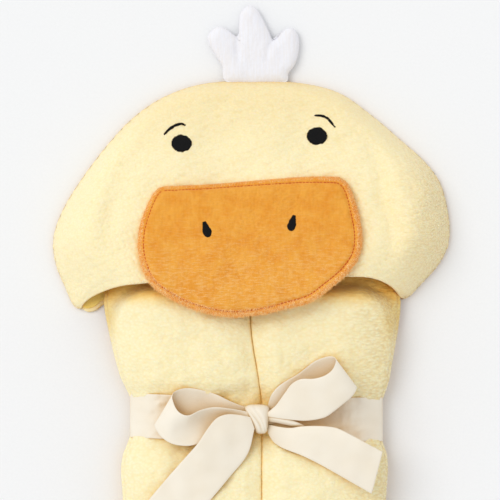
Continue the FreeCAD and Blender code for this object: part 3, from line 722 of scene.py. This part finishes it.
def make_eye(side, centre, lean):
    """Disc of upright stitches."""
    wide, long = 8.7, 7.9
    chords = []
    rng = np.random.default_rng(40)
    for across in np.arange(-wide + 0.35, wide, STITCH):
        half = long * math.sqrt(1 - (across / wide) ** 2) + rng.uniform(-0.12, 0.12)
        ends = [(across, -half), (across, half)]
        turned = [(centre[0] + u * math.cos(lean) - v * math.sin(lean),
                   centre[1] + u * math.sin(lean) + v * math.cos(lean)) for u, v in ends]
        chords.append(turned)
    satin_stitch(f"eye_{side}_stitches", chords, hood_height, f"eye_{side}", hang_on_hood, proud=1.15)


def make_brow(side, line):
    """Tapered arc of short slanting stitches."""
    path = spaced(line, 34)
    along = heading(path)
    across = beside(along)
    weight = 0.35 + 0.85 * np.sin(math.pi * np.linspace(0.06, 0.94, len(path)))
    slant = along * 0.5
    chords = [(p - (a + s) * w, p + (a + s) * w) for p, a, s, w in zip(path, across, slant, weight)]
    satin_stitch(f"brow_{side}_stitches", chords, hood_height, f"brow_{side}", hang_on_hood, proud=0.75)


def make_nostril(side, foot, head):
    """Tear shape of level stitches, wider at its foot."""
    foot, head = np.array(foot), np.array(head)
    along = head - foot
    long = np.linalg.norm(along)
    along = along / long
    across = np.array([along[1], -along[0]])
    chords = []
    for place in np.arange(0.3, long, 0.6):
        share = place / long
        half = 3.9 * math.sqrt(max(0.0, 1 - (1 - min(share / 0.36, 1)) ** 2))
        half *= 1 - 0.72 * max(0, (share - 0.3) / 0.7) ** 1.4
        middle = foot + along * place
        chords.append((middle - across * half, middle + across * half))
    satin_stitch(f"nostril_{side}_stitches", chords, bill_top, f"nostril_{side}", ride_bill, proud=0.95)


# ---- bill

BILL_OUTLINE = outline(BILL_EDGE, 380)
BILL_CENTRE = (-1.0, 34.0)


def ride_bill(obj):
    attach(obj, "bill")


def bill_floor(x, y):
    """Underside of the bill: on the hood's face, then drooping a little past the brim."""
    past = np.clip(6 - y, 0, 60)
    return face_plane(x, y) + 0.6 - 0.0042 * past**2 + 0.4 * ripple(x, y, 60, 31)


def bill_profile(x, y):
    """Thickness of the stuffed bill over its underside, with the sunken line of stitches."""
    gap = edge_distance(x, y, BILL_OUTLINE)
    round_edge = np.sqrt(np.clip(1 - (1 - np.clip(gap / 8, 0, 1)) ** 2, 0, 1))
    thick = 1.2 + 6.4 * round_edge + 1.1 * smooth_step(gap, 8, 60)
    inset = 4.6 + 1.6 * smooth_step(x, -20, 80) - 1.2 * smooth_step(y, 55, 80)
    groove = np.exp(-((gap - inset) / 1.5) ** 2)
    return thick - 1.7 * groove, inset


def bill_top(x, y):
    """Height of the bill's upper surface."""
    thick, _ = bill_profile(x, y)
    return bill_floor(x, y) + thick + ripple(x, y, 26, 33) * 0.2


def hinge_bill(obj):
    """Bakes a bill piece's placement into its points."""
    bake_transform(obj)


def make_bill():
    x, y = polar_plan(BILL_OUTLINE, BILL_CENTRE, 74)
    pile = ripple(x, y, 5, 35) * 0.12 + ripple(x, y * 1.8, 2.6, 36) * 0.07
    top = bill_top(x, y) + pile * smooth_step(edge_distance(x, y, BILL_OUTLINE), 0, 2)
    grid = points(x, y, top - 0.6)
    front = thick_sheet("bill_front_cloth", grid, 1.2, BILL, wrap=True, weld=True)
    settle(front, "bill_front", "bill_velour", hinge_bill, flat=(0.2, 0.13), held="stretched", area=0.0205)
    grid = points(x, y, bill_floor(x, y) + 0.6)[::2, ::2]
    back = thick_sheet("bill_back_cloth", grid, 1.1, BILL, wrap=True, weld=True)
    settle(back, "bill_back", "bill_velour", hinge_bill, flat=(0.2, 0.13), held="laid", area=0.0195,
           rests_on=["hood_face_panel_cloth"])
    inner = np.array(BILL_CENTRE) + (outline(BILL_EDGE, 190) - BILL_CENTRE) * 0.972
    x, y = polar_plan(inner, BILL_CENTRE, 40)
    low = bill_floor(x, y) + 1.3
    high = np.maximum(bill_top(x, y) - 1.35, low + 0.05)
    wadding_fill = closed_pillow("bill_batting_fill", x, y, low, high, BATTING)
    settle(wadding_fill, "bill_batting", "batting", hinge_bill, fill=0.7)


def make_bill_stitches():
    """Separate stitches along the sunken line."""
    _, inset = bill_profile(*BILL_OUTLINE.T)
    path = BILL_OUTLINE - edge_normals(BILL_OUTLINE) * inset[:, None]
    path = evenly(np.vstack([path, path[:1]]), 660)
    tubes = []
    for start in range(0, 656, 4):
        piece = path[start:start + 4]
        t = np.linspace(-1, 1, 4)
        z = bill_top(piece[:, 0], piece[:, 1]) + 0.3 - 0.4 * t**4
        tubes.append(tube(np.column_stack([piece, z]), 0.5, 0.36))
    obj = join_tubes("bill_topstitch_thread", tubes, ORANGE_THREAD)
    settle(obj, "bill_topstitch", "bill_thread", hinge_bill)


def fuzz(name, line, outward, surface, band, length, count, seed, material):
    """Fine tapered tufts of pile along an edge, rooted within a band of it and leaning outwards."""
    rng = np.random.default_rng(seed)
    place = rng.integers(len(line), size=count)
    away = outward[place]
    inland = rng.uniform(0, 1, count) * np.broadcast_to(band, len(line))[place]
    plan = line[place] - away * inland[:, None]
    root = np.column_stack([plan, surface(plan[:, 0], plan[:, 1]) - 0.35])
    lean = away + rng.normal(0, 0.6, count)[:, None] * beside(away)
    push = unit(np.column_stack([lean, rng.uniform(-0.2, 1.0, count)]))
    side = unit(np.cross(push, (0, 0, 1.0)))
    over = np.cross(side, push)
    reach = rng.uniform(0.5, 1.2, count) * np.broadcast_to(length, len(line))[place]
    foot = [root + 0.3 * (side * math.cos(a) + over * math.sin(a)) for a in (0, 2.094, 4.189)]
    verts = np.stack([*foot, root + push * reach[:, None]], axis=1).reshape(-1, 3)
    one = np.array([[0, 1, 3], [1, 2, 3], [2, 0, 3], [2, 1, 0]])
    faces = (one + 4 * np.arange(count)[:, None, None]).reshape(-1, 3)
    return make_object(name, verts, faces.tolist(), material, smooth=False)


def open_normals(line):
    """Direction to the right of travel at each point of an open line."""
    return -beside(heading(line))


def make_pile():
    """Loose pile that stands out along the edges of the bill, the hood and the tuft."""
    x, y = BILL_OUTLINE.T
    low = np.maximum(smooth_step(-y, -60, 10), 0.6 * smooth_step(x, 40, 90))
    pile = fuzz("bill_pile", BILL_OUTLINE, edge_normals(BILL_OUTLINE), bill_top,
                2.5 + 4 * low, 1.2 + 1.7 * low, 9000, 81, PEACH_PILE)
    settle(pile, None, "bill_velour", hinge_bill)
    brim = spaced(BRIM, 400)
    under_edge = spaced(HOOD_EDGE, 500)[::-1]
    for name, line, band, length, count in (("brim_pile", brim, 1.5, 1.3, 2600),
                                            ("hood_edge_pile", under_edge, 1.2, 1.2, 4200)):
        pile = fuzz(name, line, open_normals(line), hood_height, band, length, count, 82, YELLOW_PILE)
        settle(pile, None, "hood_velour", hang_on_hood)
    pile = fuzz("tuft_pile", TUFT_OUTLINE, edge_normals(TUFT_OUTLINE), tuft_top,
                1.5, 0.9, 1500, 83, WHITE_PILE)
    settle(pile, None, "tuft_velour", flip_tuft)


def edge_normals(edge):
    """Outward direction at each point of a closed outline."""
    sign = 1 if edge_turn(*edge.T) > 0 else -1
    return -beside(heading_round(edge)) * sign


# ---- tuft

TUFT_OUTLINE = outline(TUFT_EDGE, 260)
TUFT_CENTRE = (3.0, 196.0)
TUFT_MIDDLE = 5.0


def tuft_swell(x, y):
    """Half thickness of the tuft: padded lobes with creases that run in from the two notches."""
    gap = edge_distance(x, y, TUFT_OUTLINE)
    swell = 4.6 * np.sqrt(np.clip(1 - (1 - np.clip(gap / 9, 0, 1)) ** 2, 0, 1))
    swell += crease(x, y, [(-11, 214), (-12, 202), (-11, 188)], 3.6, -2.3)
    swell += crease(x, y, [(18.5, 209), (15, 200), (13, 190)], 3.6, -1.7)
    swell -= 1.6 * smooth_step(-y, -184, -172)
    return np.clip(swell, 0.5, None) + ripple(x, y, 22, 51) * 0.15 * smooth_step(gap, 0, 5)


def tuft_top(x, y):
    """Height of the tuft's upper surface."""
    return TUFT_MIDDLE + tuft_swell(x, y)


def flip_tuft(obj):
    """Bakes a tuft piece's placement into its points."""
    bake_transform(obj)


def make_tuft():
    x, y = polar_plan(TUFT_OUTLINE, TUFT_CENTRE, 44)
    swell = tuft_swell(x, y)
    pile = ripple(x, y, 5, 52) * 0.05 * smooth_step(edge_distance(x, y, TUFT_OUTLINE), 0, 2)
    for node, height in (("tuft_front", swell - 0.5 + pile), ("tuft_back", 0.5 - swell * 0.9)):
        grid = points(x, y, TUFT_MIDDLE + height)
        cover = thick_sheet(f"{node}_cloth", grid, 1.0, TUFT, wrap=True, weld=True)
        settle(cover, node, "tuft_velour", flip_tuft, flat=(0.085, 0.075), held="stretched", area=0.0038)
    inner = np.array(TUFT_CENTRE) + (TUFT_OUTLINE[::2] - TUFT_CENTRE) * 0.94
    x, y = polar_plan(inner, TUFT_CENTRE, 26)
    swell = np.maximum(tuft_swell(x, y) - 1.15, 0.1)
    low, high = TUFT_MIDDLE - swell * 0.85, TUFT_MIDDLE + swell
    wadding_fill = closed_pillow("tuft_batting_fill", x, y, low, high, BATTING)
    settle(wadding_fill, "tuft_batting", "batting", flip_tuft, fill=0.6)


# ---- towel

LAYER = 4.0          # height that one layer of the towel takes up
STACK = 48.0         # twelve layers
SLAB_HALF = 121.0
# Down the bundle: place, left edge, right edge, underside, top.
BUNDLE = np.array([
    (-242, -104, 107, 5, 38), (-226, -110, 113, 1.2, 47), (-190, -111, 116, 0.8, 50),
    (-164, -113, 118, 0.8, 49.5), (-150, -111, 117, 0.9, 47), (-140, -106, 113, 1.6, 41),
    (-134, -104, 111, 2, 38.8), (-119, -102.5, 111, 2, 38), (-104, -103.5, 113, 2, 38.8),
    (-98, -106, 115.5, 1.6, 41), (-88, -112, 119, 0.9, 46.5), (-72, -117, 121.5, 0.8, 49),
    (-50, -122.5, 126, 0.8, 50), (-30, -127, 129, 0.8, 50.5), (-16, -128.5, 129.5, 3.9, 50),
    (0, -125, 125, 4, 48), (16, -121, 122, 4, 44), (40, -113, 114, 4, 38), (62, -100, 101, 4, 31),
    (88, -82, 82, 5, 21),
])
FINE_Y = np.arange(-260, 110, 1.0)


def bundle_profile(column):
    """One of the bundle's measures, smoothed, as a table over FINE_Y."""
    raw = np.interp(FINE_Y, BUNDLE[:, 0], BUNDLE[:, column])
    window = np.exp(-(np.arange(-9, 10) / 3.2) ** 2)
    padded = np.pad(raw, 9, mode="edge")
    return np.convolve(padded, window / window.sum(), mode="valid")


LEFT, RIGHT, UNDER, TOP = (bundle_profile(column) for column in (1, 2, 3, 4))


def split_line(y):
    """Sideways place of the line where the towel's two flaps meet."""
    return -1 + 10 * smooth_step(-y, 30, 115)


# Line, width, depth.
TOWEL_FOLDS = [
    ([(60, -7), (86, -5), (105, -9), (118, -18), (122, -34)], 2.4, -2.6),
    ([(72, -12), (89, -11.5), (104, -13.5), (113, -20), (118, -38)], 2.4, -1.8),
    ([(-122, -44), (-118.5, -24), (-108, -13), (-88, -6)], 2.6, -2.2),
    ([(-96, -60), (-100, -84), (-96, -98)], 6, -1.6),
    ([(88, -62), (96, -84), (92, -98)], 6, -1.6),
    ([(-60, -142), (-66, -160), (-62, -186)], 7, -1.6),
    ([(74, -186), (80, -206), (70, -226)], 7, -1.8),
]


def towel_relief(x, y):
    """Folds and puffs of the towel's upper side."""
    gap = np.abs(y - WAIST_MIDDLE) - RIBBON_WIDE / 2
    gather = np.exp(-np.clip(gap, 0, None) / 15) * (gap > -6)
    relief = 0.9 * gather * np.sin(x / 3.6 + 1.4 * np.sin(x / 17) + 0.3 * np.sin(y / 6))
    relief += ripple(x, y, 80, 61) * 1.0 + ripple(x, y, 28, 62) * 0.4
    relief += ripple(x, y, 8, 63) * 0.22 + ripple(x, y, 4.6, 64) * 0.14
    return relief + creases(x, y, TOWEL_FOLDS)


SIDE_FALL = 0.44      # share of its height that the bundle loses at its two sides
MOUTH_FALL = 0.42     # and inside the mouth of the hood, past its two round shoulders


def shoulder(x, y):
    """Share of its height that the bundle loses towards the mouth of the hood."""
    across = np.clip((np.abs(x - 1) - 88) / 40, 0, None)
    along = np.clip((y + 48) / 46, 0, None)
    return MOUTH_FALL * smooth_step(np.hypot(across, along), 0.74, 1.02)


def warp_bundle(a, y, z):
    """Moves a point of the flat stack (a across, y along, z up) to its place in the bundle."""
    left, right, under, top = (np.interp(y, FINE_Y, table) for table in (LEFT, RIGHT, UNDER, TOP))
    across = a / SLAB_HALF
    level = z / STACK
    split = split_line(y)
    tuck = 1 - 0.055 * np.abs(2 * level - 1) ** 2.6
    x = np.where(across >= 0, split + (right - split) * across, split + (split - left) * across)
    middle = (left + right) / 2
    x = middle + (x - middle) * tuck
    valley = 0.14 * np.exp(-((x - split) / 10) ** 2) * level**3
    sides = 1 - (1 - SIDE_FALL * np.abs(across) ** 4.5) * (1 - shoulder(x, y))
    height = under + (top - under) * level * (1 - valley - sides)
    lift = sides * (1 - 2 * level).clip(0, 1) * 8
    height += lift + towel_relief(x, y) * smooth_step(level, 0.72, 0.95) * (1 - np.abs(across) ** 8)
    return x, y, height


def flap_section(fine, coarse):
    """Half of the sheet across its width: out along the bottom, back over the top, then in between."""
    gap = 1.4
    out = SLAB_HALF - LAYER
    turn = np.radians(np.linspace(-90, 90, 7))[1:-1]
    tuck = np.radians(np.linspace(90, 270, 6))[1:-1]
    run = np.linspace(0, out, int(out / coarse))
    back = np.linspace(out, gap + 2, int(out / fine))
    inside = np.linspace(gap + 2, SLAB_HALF - 16, int(out / coarse))
    points = [(a, -LAYER) for a in run]
    points += [(out + LAYER * math.cos(t), LAYER * math.sin(t)) for t in turn]
    points += [(a, LAYER) for a in back]
    points += [(gap + 2 + 2 * math.cos(t), LAYER / 2 + 2 * math.sin(t)) for t in tuck]
    points += [(a, 0.0) for a in inside]
    return np.array(points)


def zigzag(fine, coarse):
    """The sheet down its length, folded in four: (y, z, then the direction of travel)."""
    foot, neck, turn = -227.0, 76.0, 6.0
    bend = np.radians(np.linspace(0, 180, 9))[1:-1]
    rows = []

    def run(start, end, z, step):
        count = int(abs(end - start) / step)
        heading = 1.0 if end > start else -1.0
        rows.extend((y, z, heading, 0.0) for y in np.linspace(start, end, count))

    def fold(y, z, outward):
        for t in bend:
            rows.append((y + outward * turn * math.sin(t), z + turn - turn * math.cos(t),
                         outward * math.cos(t), math.sin(t)))

    run(-15.0, foot, 6, coarse)
    fold(foot, 6, -1)
    run(foot, neck, 18, coarse)
    fold(neck, 18, 1)
    run(neck, foot, 30, coarse)
    fold(foot, 30, -1)
    run(foot, neck + 6, 42, fine)
    return np.array(rows)


def make_towel():
    fine, coarse = 2.3, 9.0
    half = flap_section(fine, coarse)
    section = np.vstack([half[:0:-1] * (-1, 1), half])
    path = zigzag(fine, coarse)
    y = path[:, 0][:, None] - path[:, 3][:, None] * section[:, 1]
    z = path[:, 1][:, None] + path[:, 2][:, None] * section[:, 1]
    a = np.broadcast_to(section[:, 0], y.shape)
    grid = np.stack(warp_bundle(a, y, z), axis=2)
    thickness = CLOTH * (1 - 0.45 * np.clip(np.abs(a) / SLAB_HALF, 0, 1) ** 4.5)
    thickness = thickness * (1 - 0.8 * shoulder(grid[..., 0], grid[..., 1]))
    obj = thick_sheet("towel_body_cloth", grid, thickness, TOWEL)
    settle(obj, "towel_body", "towel_terry", on_root, flat=(0.686, 1.27), held="folded")


def bundle_top(x, y):
    """Height of the upper side of the towel's top layer."""
    left, right, top = (np.interp(y, FINE_Y, table) for table in (LEFT, RIGHT, TOP))
    across = (2 * x - left - right) / (right - left)
    valley = 0.12 * np.exp(-((x - split_line(y)) / 10) ** 2)
    return top * (1 - valley - SIDE_FALL * np.clip(np.abs(across), 0, 1) ** 4.5) + towel_relief(x, y)


# ---- seams

def overlock(name, line, z, width, node):
    """Zigzag of thread along a seam."""
    count = len(line)
    swing = np.where(np.arange(count) % 2, width / 2, -width / 2)[:, None]
    path = np.column_stack([line + beside(heading(line)) * swing, np.full(count, z)])
    obj = join_tubes(name, [tube(path, 0.32, 0.3, 5)], YELLOW_THREAD)
    settle(obj, node, "seam_thread", on_root)


def make_seams():
    ring = (spaced(HOOD_EDGE, 380) - (0, 60)) * 0.968 + (0, 60)
    overlock("crown_seam_thread", ring[8:-8], 3.6, 1.6, "crown_seam")
    neck = np.column_stack([np.linspace(-112, 112, 150), np.full(150, -15.2)])
    overlock("neck_seam_thread", neck, 1.9, 1.4, "neck_seam")


# ---- ribbon


def ribbon_strip(name, upper, lower, node, flat, held, rests_on, bulges=None, seed=71, area=None):
    """Ribbon between two rails of matching points. bulges lift its middle at each of those points.
    """
    a = smooth_curve(upper, 14)
    b = smooth_curve(lower, 14)
    share = np.linspace(0, 1, 22)[None, :, None]
    grid = a[:, None] * (1 - share) + b[:, None] * share
    bulges = [(value, 0) for value in (bulges or [0.8] * len(upper))]
    bulge = smooth_curve(bulges, 14)[:, :1] * np.sin(math.pi * share[..., 0])
    grid[..., 2] += bulge + ripple(grid[..., 0], grid[..., 1], 30, seed) * 0.3
    obj = thick_sheet(name, grid, SATIN, SATIN_LOOK)
    settle(obj, node, "ribbon_satin",
           lambda piece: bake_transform(piece),
           flat=flat, held=held, rests_on=rests_on, area=area)


def band_section():
    """Closed line round the bundle at the waist: x, and height."""
    left, right, under, top = (np.interp(WAIST_MIDDLE, FINE_Y, t) for t in (LEFT, RIGHT, UNDER, TOP))
    middle, half, thick = (left + right) / 2, (right - left) / 2, top - under
    across = (-0.97, -0.86, -0.7, -0.35, 0, 0.35, 0.7, 0.86, 0.97)
    over = [(s * 0.945, 1 - SIDE_FALL * abs(s) ** 4.5) for s in across]
    right_side = [(1.0, 0.42), (0.99, 0.2), (0.9, 0.05), (0.6, 0.0), (0.0, 0.0)]
    left_side = [(-a, level) for a, level in right_side[:-1]][::-1]
    corners = [(middle + a * half, under + level * thick) for a, level in over + right_side + left_side]
    line = outline(corners, 300)
    return line + beside(heading_round(line)) * 2.0


def make_band():
    line = band_section()
    share = np.linspace(-0.5, 0.5, 26)[:, None]
    x = line[:, 0] + 0 * share
    z = line[:, 1] + 0 * share
    upper = smooth_step(z, 15, 30)
    near_knot = np.exp(-((x - 6) / 38) ** 2) * upper
    y = WAIST_MIDDLE + share * RIBBON_WIDE * (1 - 0.5 * near_knot) - 0.0165 * x
    pull = 0.3 * np.sin(share * 22 + x / 30) * np.sin(x / 24) + 0.7 * near_knot * np.sin(share * 34)
    over_towel = (upper > 0) * (1 - smooth_step(np.abs(x - 4), 84, 100))
    z = z + over_towel * np.maximum(bundle_top(x, y) + 0.9 - z, 0)
    z = np.maximum(z + pull * upper, 0.5)
    obj = thick_sheet("ribbon_band_cloth", points(x, y, z), SATIN, SATIN_LOOK, wrap=True)
    settle(obj, "ribbon_band", "ribbon_satin", on_root, flat=(0.038, 0.5), held="stretched",
           rests_on=["towel_body_cloth"])


def make_loops():
    upper = [(-2, -111, 43), (-18, -104.5, 42.5), (-33, -97.5, 42.8), (-52, -93, 44.5),
             (-63.5, -94.5, 48.5), (-68, -99, 53.5), (-66, -107.5, 57), (-61.5, -113.5, 58.5),
             (-54, -115.8, 58.5), (-44, -111.5, 57), (-32, -109, 54.5), (-17, -110.5, 51.5),
             (-2, -113.5, 49.5)]
    lower = [(-2, -121, 43), (-20, -129, 42), (-38, -133, 41.5), (-60, -132, 42), (-76, -128, 43.5),
             (-83, -124, 46.5), (-81, -129.5, 50.5), (-75, -136, 53), (-66, -140.5, 54.5),
             (-52, -141.5, 55), (-36, -136.5, 54), (-17, -127, 51.5), (-2, -121.5, 49.5)]
    ribbon_strip("ribbon_loop_left_cloth", upper, lower, "ribbon_loop_left",
                 (0.038, 0.17), "folded",
                 ["ribbon_band_cloth"], [0, -0.5, -0.5, 0, 0.5, 1, 1.5, 1, -2.5, -5, -4.5, -1.5, 0.5], 72)
    upper = [(14, -108, 44), (17, -99, 45.5), (23, -91.5, 47), (31, -86, 48), (41, -80, 49),
             (53, -70.5, 51), (62, -66.5, 54), (69, -65.3, 58), (72.2, -68.5, 62), (69.5, -76, 65),
             (62.5, -81.5, 65.5), (53, -84.2, 64), (43, -84.5, 61.5), (35, -88.5, 58), (28.5, -97, 54.5),
             (21, -107.5, 51.5), (14, -113.5, 49.5)]
    lower = [(14, -124, 43), (24, -122, 43), (33, -119, 43), (43, -114, 43), (54, -107.5, 43.5),
             (66, -100.5, 44.5), (77, -95, 47), (86, -90.8, 51), (90, -91.5, 55.5), (88, -96.5, 58.5),
             (84, -101, 60), (78.5, -105.5, 60), (71, -111.5, 59), (62, -117.5, 57), (47, -120.3, 54),
             (31, -119.3, 51.5), (14, -117, 49.5)]
    ribbon_strip("ribbon_loop_right_cloth", upper, lower, "ribbon_loop_right",
                 (0.038, 0.17), "folded",
                 ["ribbon_band_cloth"],
                 [0, 0, 0, 0, 0, 0.3, 0.8, 1.2, 1.6, 1.8, 1.8, 1.6, 1.4, 1.2, 1.2, 0.8, 0.4], 73)


def make_tails():
    upper = [(-1, -117.5, 51), (-11, -115.5, 54.2), (-21, -115, 57.2), (-30, -118.5, 58.6),
             (-38, -128, 58), (-46, -140, 57.6), (-56, -151.5, 54), (-68, -165, 51.8), (-80, -179, 51.8),
             (-92, -193.5, 51.8), (-101, -205, 51)]
    lower = [(2.5, -127, 50.8), (1, -134, 51.2), (-0.5, -141, 51), (-3, -148, 50.6), (-8, -156, 50.6),
             (-17, -166.5, 51), (-27, -178.5, 51.6), (-38, -191.5, 51.8), (-49, -204.5, 51.8),
             (-60, -217.5, 51.8), (-68, -228, 51.4)]
    ribbon_strip("ribbon_tail_left_cloth", upper, lower, "ribbon_tail_left",
                 (0.038, 0.13), "laid",
                 ["ribbon_loop_left_cloth", "towel_body_cloth"], seed=74)
    upper = [(13.5, -124, 44.5), (23, -126, 46.5), (33, -127, 49.5), (43, -125.5, 52.5), (57, -125, 56),
             (72, -126.5, 58.5), (86, -133, 60), (99, -140, 60), (112, -147, 57.5)]
    lower = [(14, -131.5, 43.5), (19, -139, 44), (25.5, -143.5, 46), (33, -146.5, 49), (45, -151, 51.6),
             (60, -158.5, 52.4), (75, -167, 52.4), (89, -175, 52.2), (103, -183, 51)]
    ribbon_strip("ribbon_tail_right_cloth", upper, lower, "ribbon_tail_right",
                 (0.038, 0.11), "laid", ["ribbon_band_cloth", "towel_body_cloth"], seed=75)


def make_knot():
    """Short wrap of ribbon over the middle of the bow, pulled tight and narrower at its foot."""
    turns = np.linspace(0, 2 * math.pi, 72, endpoint=False)
    share = np.linspace(-1, 1, 34)[:, None]
    down = np.sin(turns)
    y = -119.4 - 12.4 * np.sign(down) * np.abs(down) ** 0.8 * (1 - 0.22 * share**4)
    z = 45.6 + 6.6 * np.cos(turns) * (1 - 0.55 * share**4)
    foot = smooth_step(-y, 106, 132)
    x = 4.6 + 3.6 * foot + (10.8 - 5.6 * foot) * share
    slant = share - 0.9 * foot
    folds = -1.0 * np.exp(-((slant + 0.75) / 0.14) ** 2) - 0.7 * np.exp(-((slant + 0.2) / 0.12) ** 2)
    folds += 0.4 * np.sin(slant * 5 + 1)
    z = z + folds * np.clip(np.cos(turns), 0, 1)
    obj = thick_sheet("ribbon_knot_cloth", points(x, y, z), SATIN, SATIN_LOOK, wrap=True)
    settle(obj, "ribbon_knot", "ribbon_satin", on_root, flat=(0.038, 0.065), held="gathered", area=0.0012,
           rests_on=["ribbon_band_cloth"])


def make_twist():
    """Rolled edge of the right free end, which stands up beside the knot."""
    upper = [(12, -115.5, 47.5), (20, -116.8, 49), (30, -119, 50), (38, -121.5, 50), (45, -124.5, 48.8)]
    lower = [(12, -121, 46), (20, -122, 47), (30, -124.2, 47.6), (38, -125.8, 47.8), (45, -126.5, 47.8)]
    ribbon_strip("ribbon_tail_right_roll", upper, lower, None, (0.0105, 0.036), "gathered",
                 ["ribbon_band_cloth"], [0.5, 1.4, 1.6, 1.2, 0.4], 76, area=0.00023)


# ---- stage

def make_stage():
    """Pale floor, plain soft light and a camera that looks straight down."""
    bpy.ops.mesh.primitive_plane_add(size=30, location=(0, 0, -0.0006))
    floor = bpy.context.object
    floor.name = "floor"
    n = Nodes("floor_paper")
    speckle = n.noise(2)
    tone = n.ramp(speckle, [(0.3, linear(240, 241, 242)), (0.7, linear(242, 243, 244))])
    floor.data.materials.append(n.finish(tone, n.bump(speckle, 0.02, 0.2), 0.9, specular=0.1))

    world = bpy.data.worlds.new("studio")
    bpy.context.scene.world = world
    world.use_nodes = True
    backdrop = world.node_tree.nodes["Background"]
    backdrop.inputs["Color"].default_value = (0.995, 0.997, 1.0, 1)
    backdrop.inputs["Strength"].default_value = 0.79

    key = bpy.data.lights.new("key", "SUN")
    key.energy = 1.03
    key.angle = math.radians(38)
    key.color = (1.0, 0.99, 0.97)
    lamp = bpy.data.objects.new("key", key)
    lamp.rotation_euler = Vector((0.62, -0.42, -1.0)).to_track_quat("-Z", "Y").to_euler()
    bpy.context.scene.collection.objects.link(lamp)

    camera_data = bpy.data.cameras.new("camera")
    camera_data.sensor_width = 36
    camera_data.lens = 250
    camera_data.clip_end = 100
    camera = bpy.data.objects.new("camera", camera_data)
    camera.location = (-1.3 * MM, 25.9 * MM, 3.0 + 30 * MM)
    bpy.context.scene.collection.objects.link(camera)
    bpy.context.scene.camera = camera
    bpy.context.scene.view_settings.view_transform = "Standard"


make_stage()
make_towel()
make_hood_back()
make_hood_lining()
make_hood_face()
make_seams()
make_bill()
make_bill_stitches()
make_eye("left", (-60.4, 118.1), 0.0)
make_eye("right", (56.6, 124.4), -0.1)
make_brow("left", [(-75.6, 125.9), (-71, 130.5), (-66, 133.6), (-60.4, 135.1), (-57.4, 133.8)])
make_brow("right", [(54.9, 142.5), (60, 142.2), (65.5, 140), (72.1, 132.2)])
make_nostril("left", (-36.6, 37.0), (-40.8, 50.4))
make_nostril("right", (33.2, 42.4), (36.7, 55.6))
make_tuft()
make_pile()
make_band()
make_loops()
make_tails()
make_twist()
make_knot()
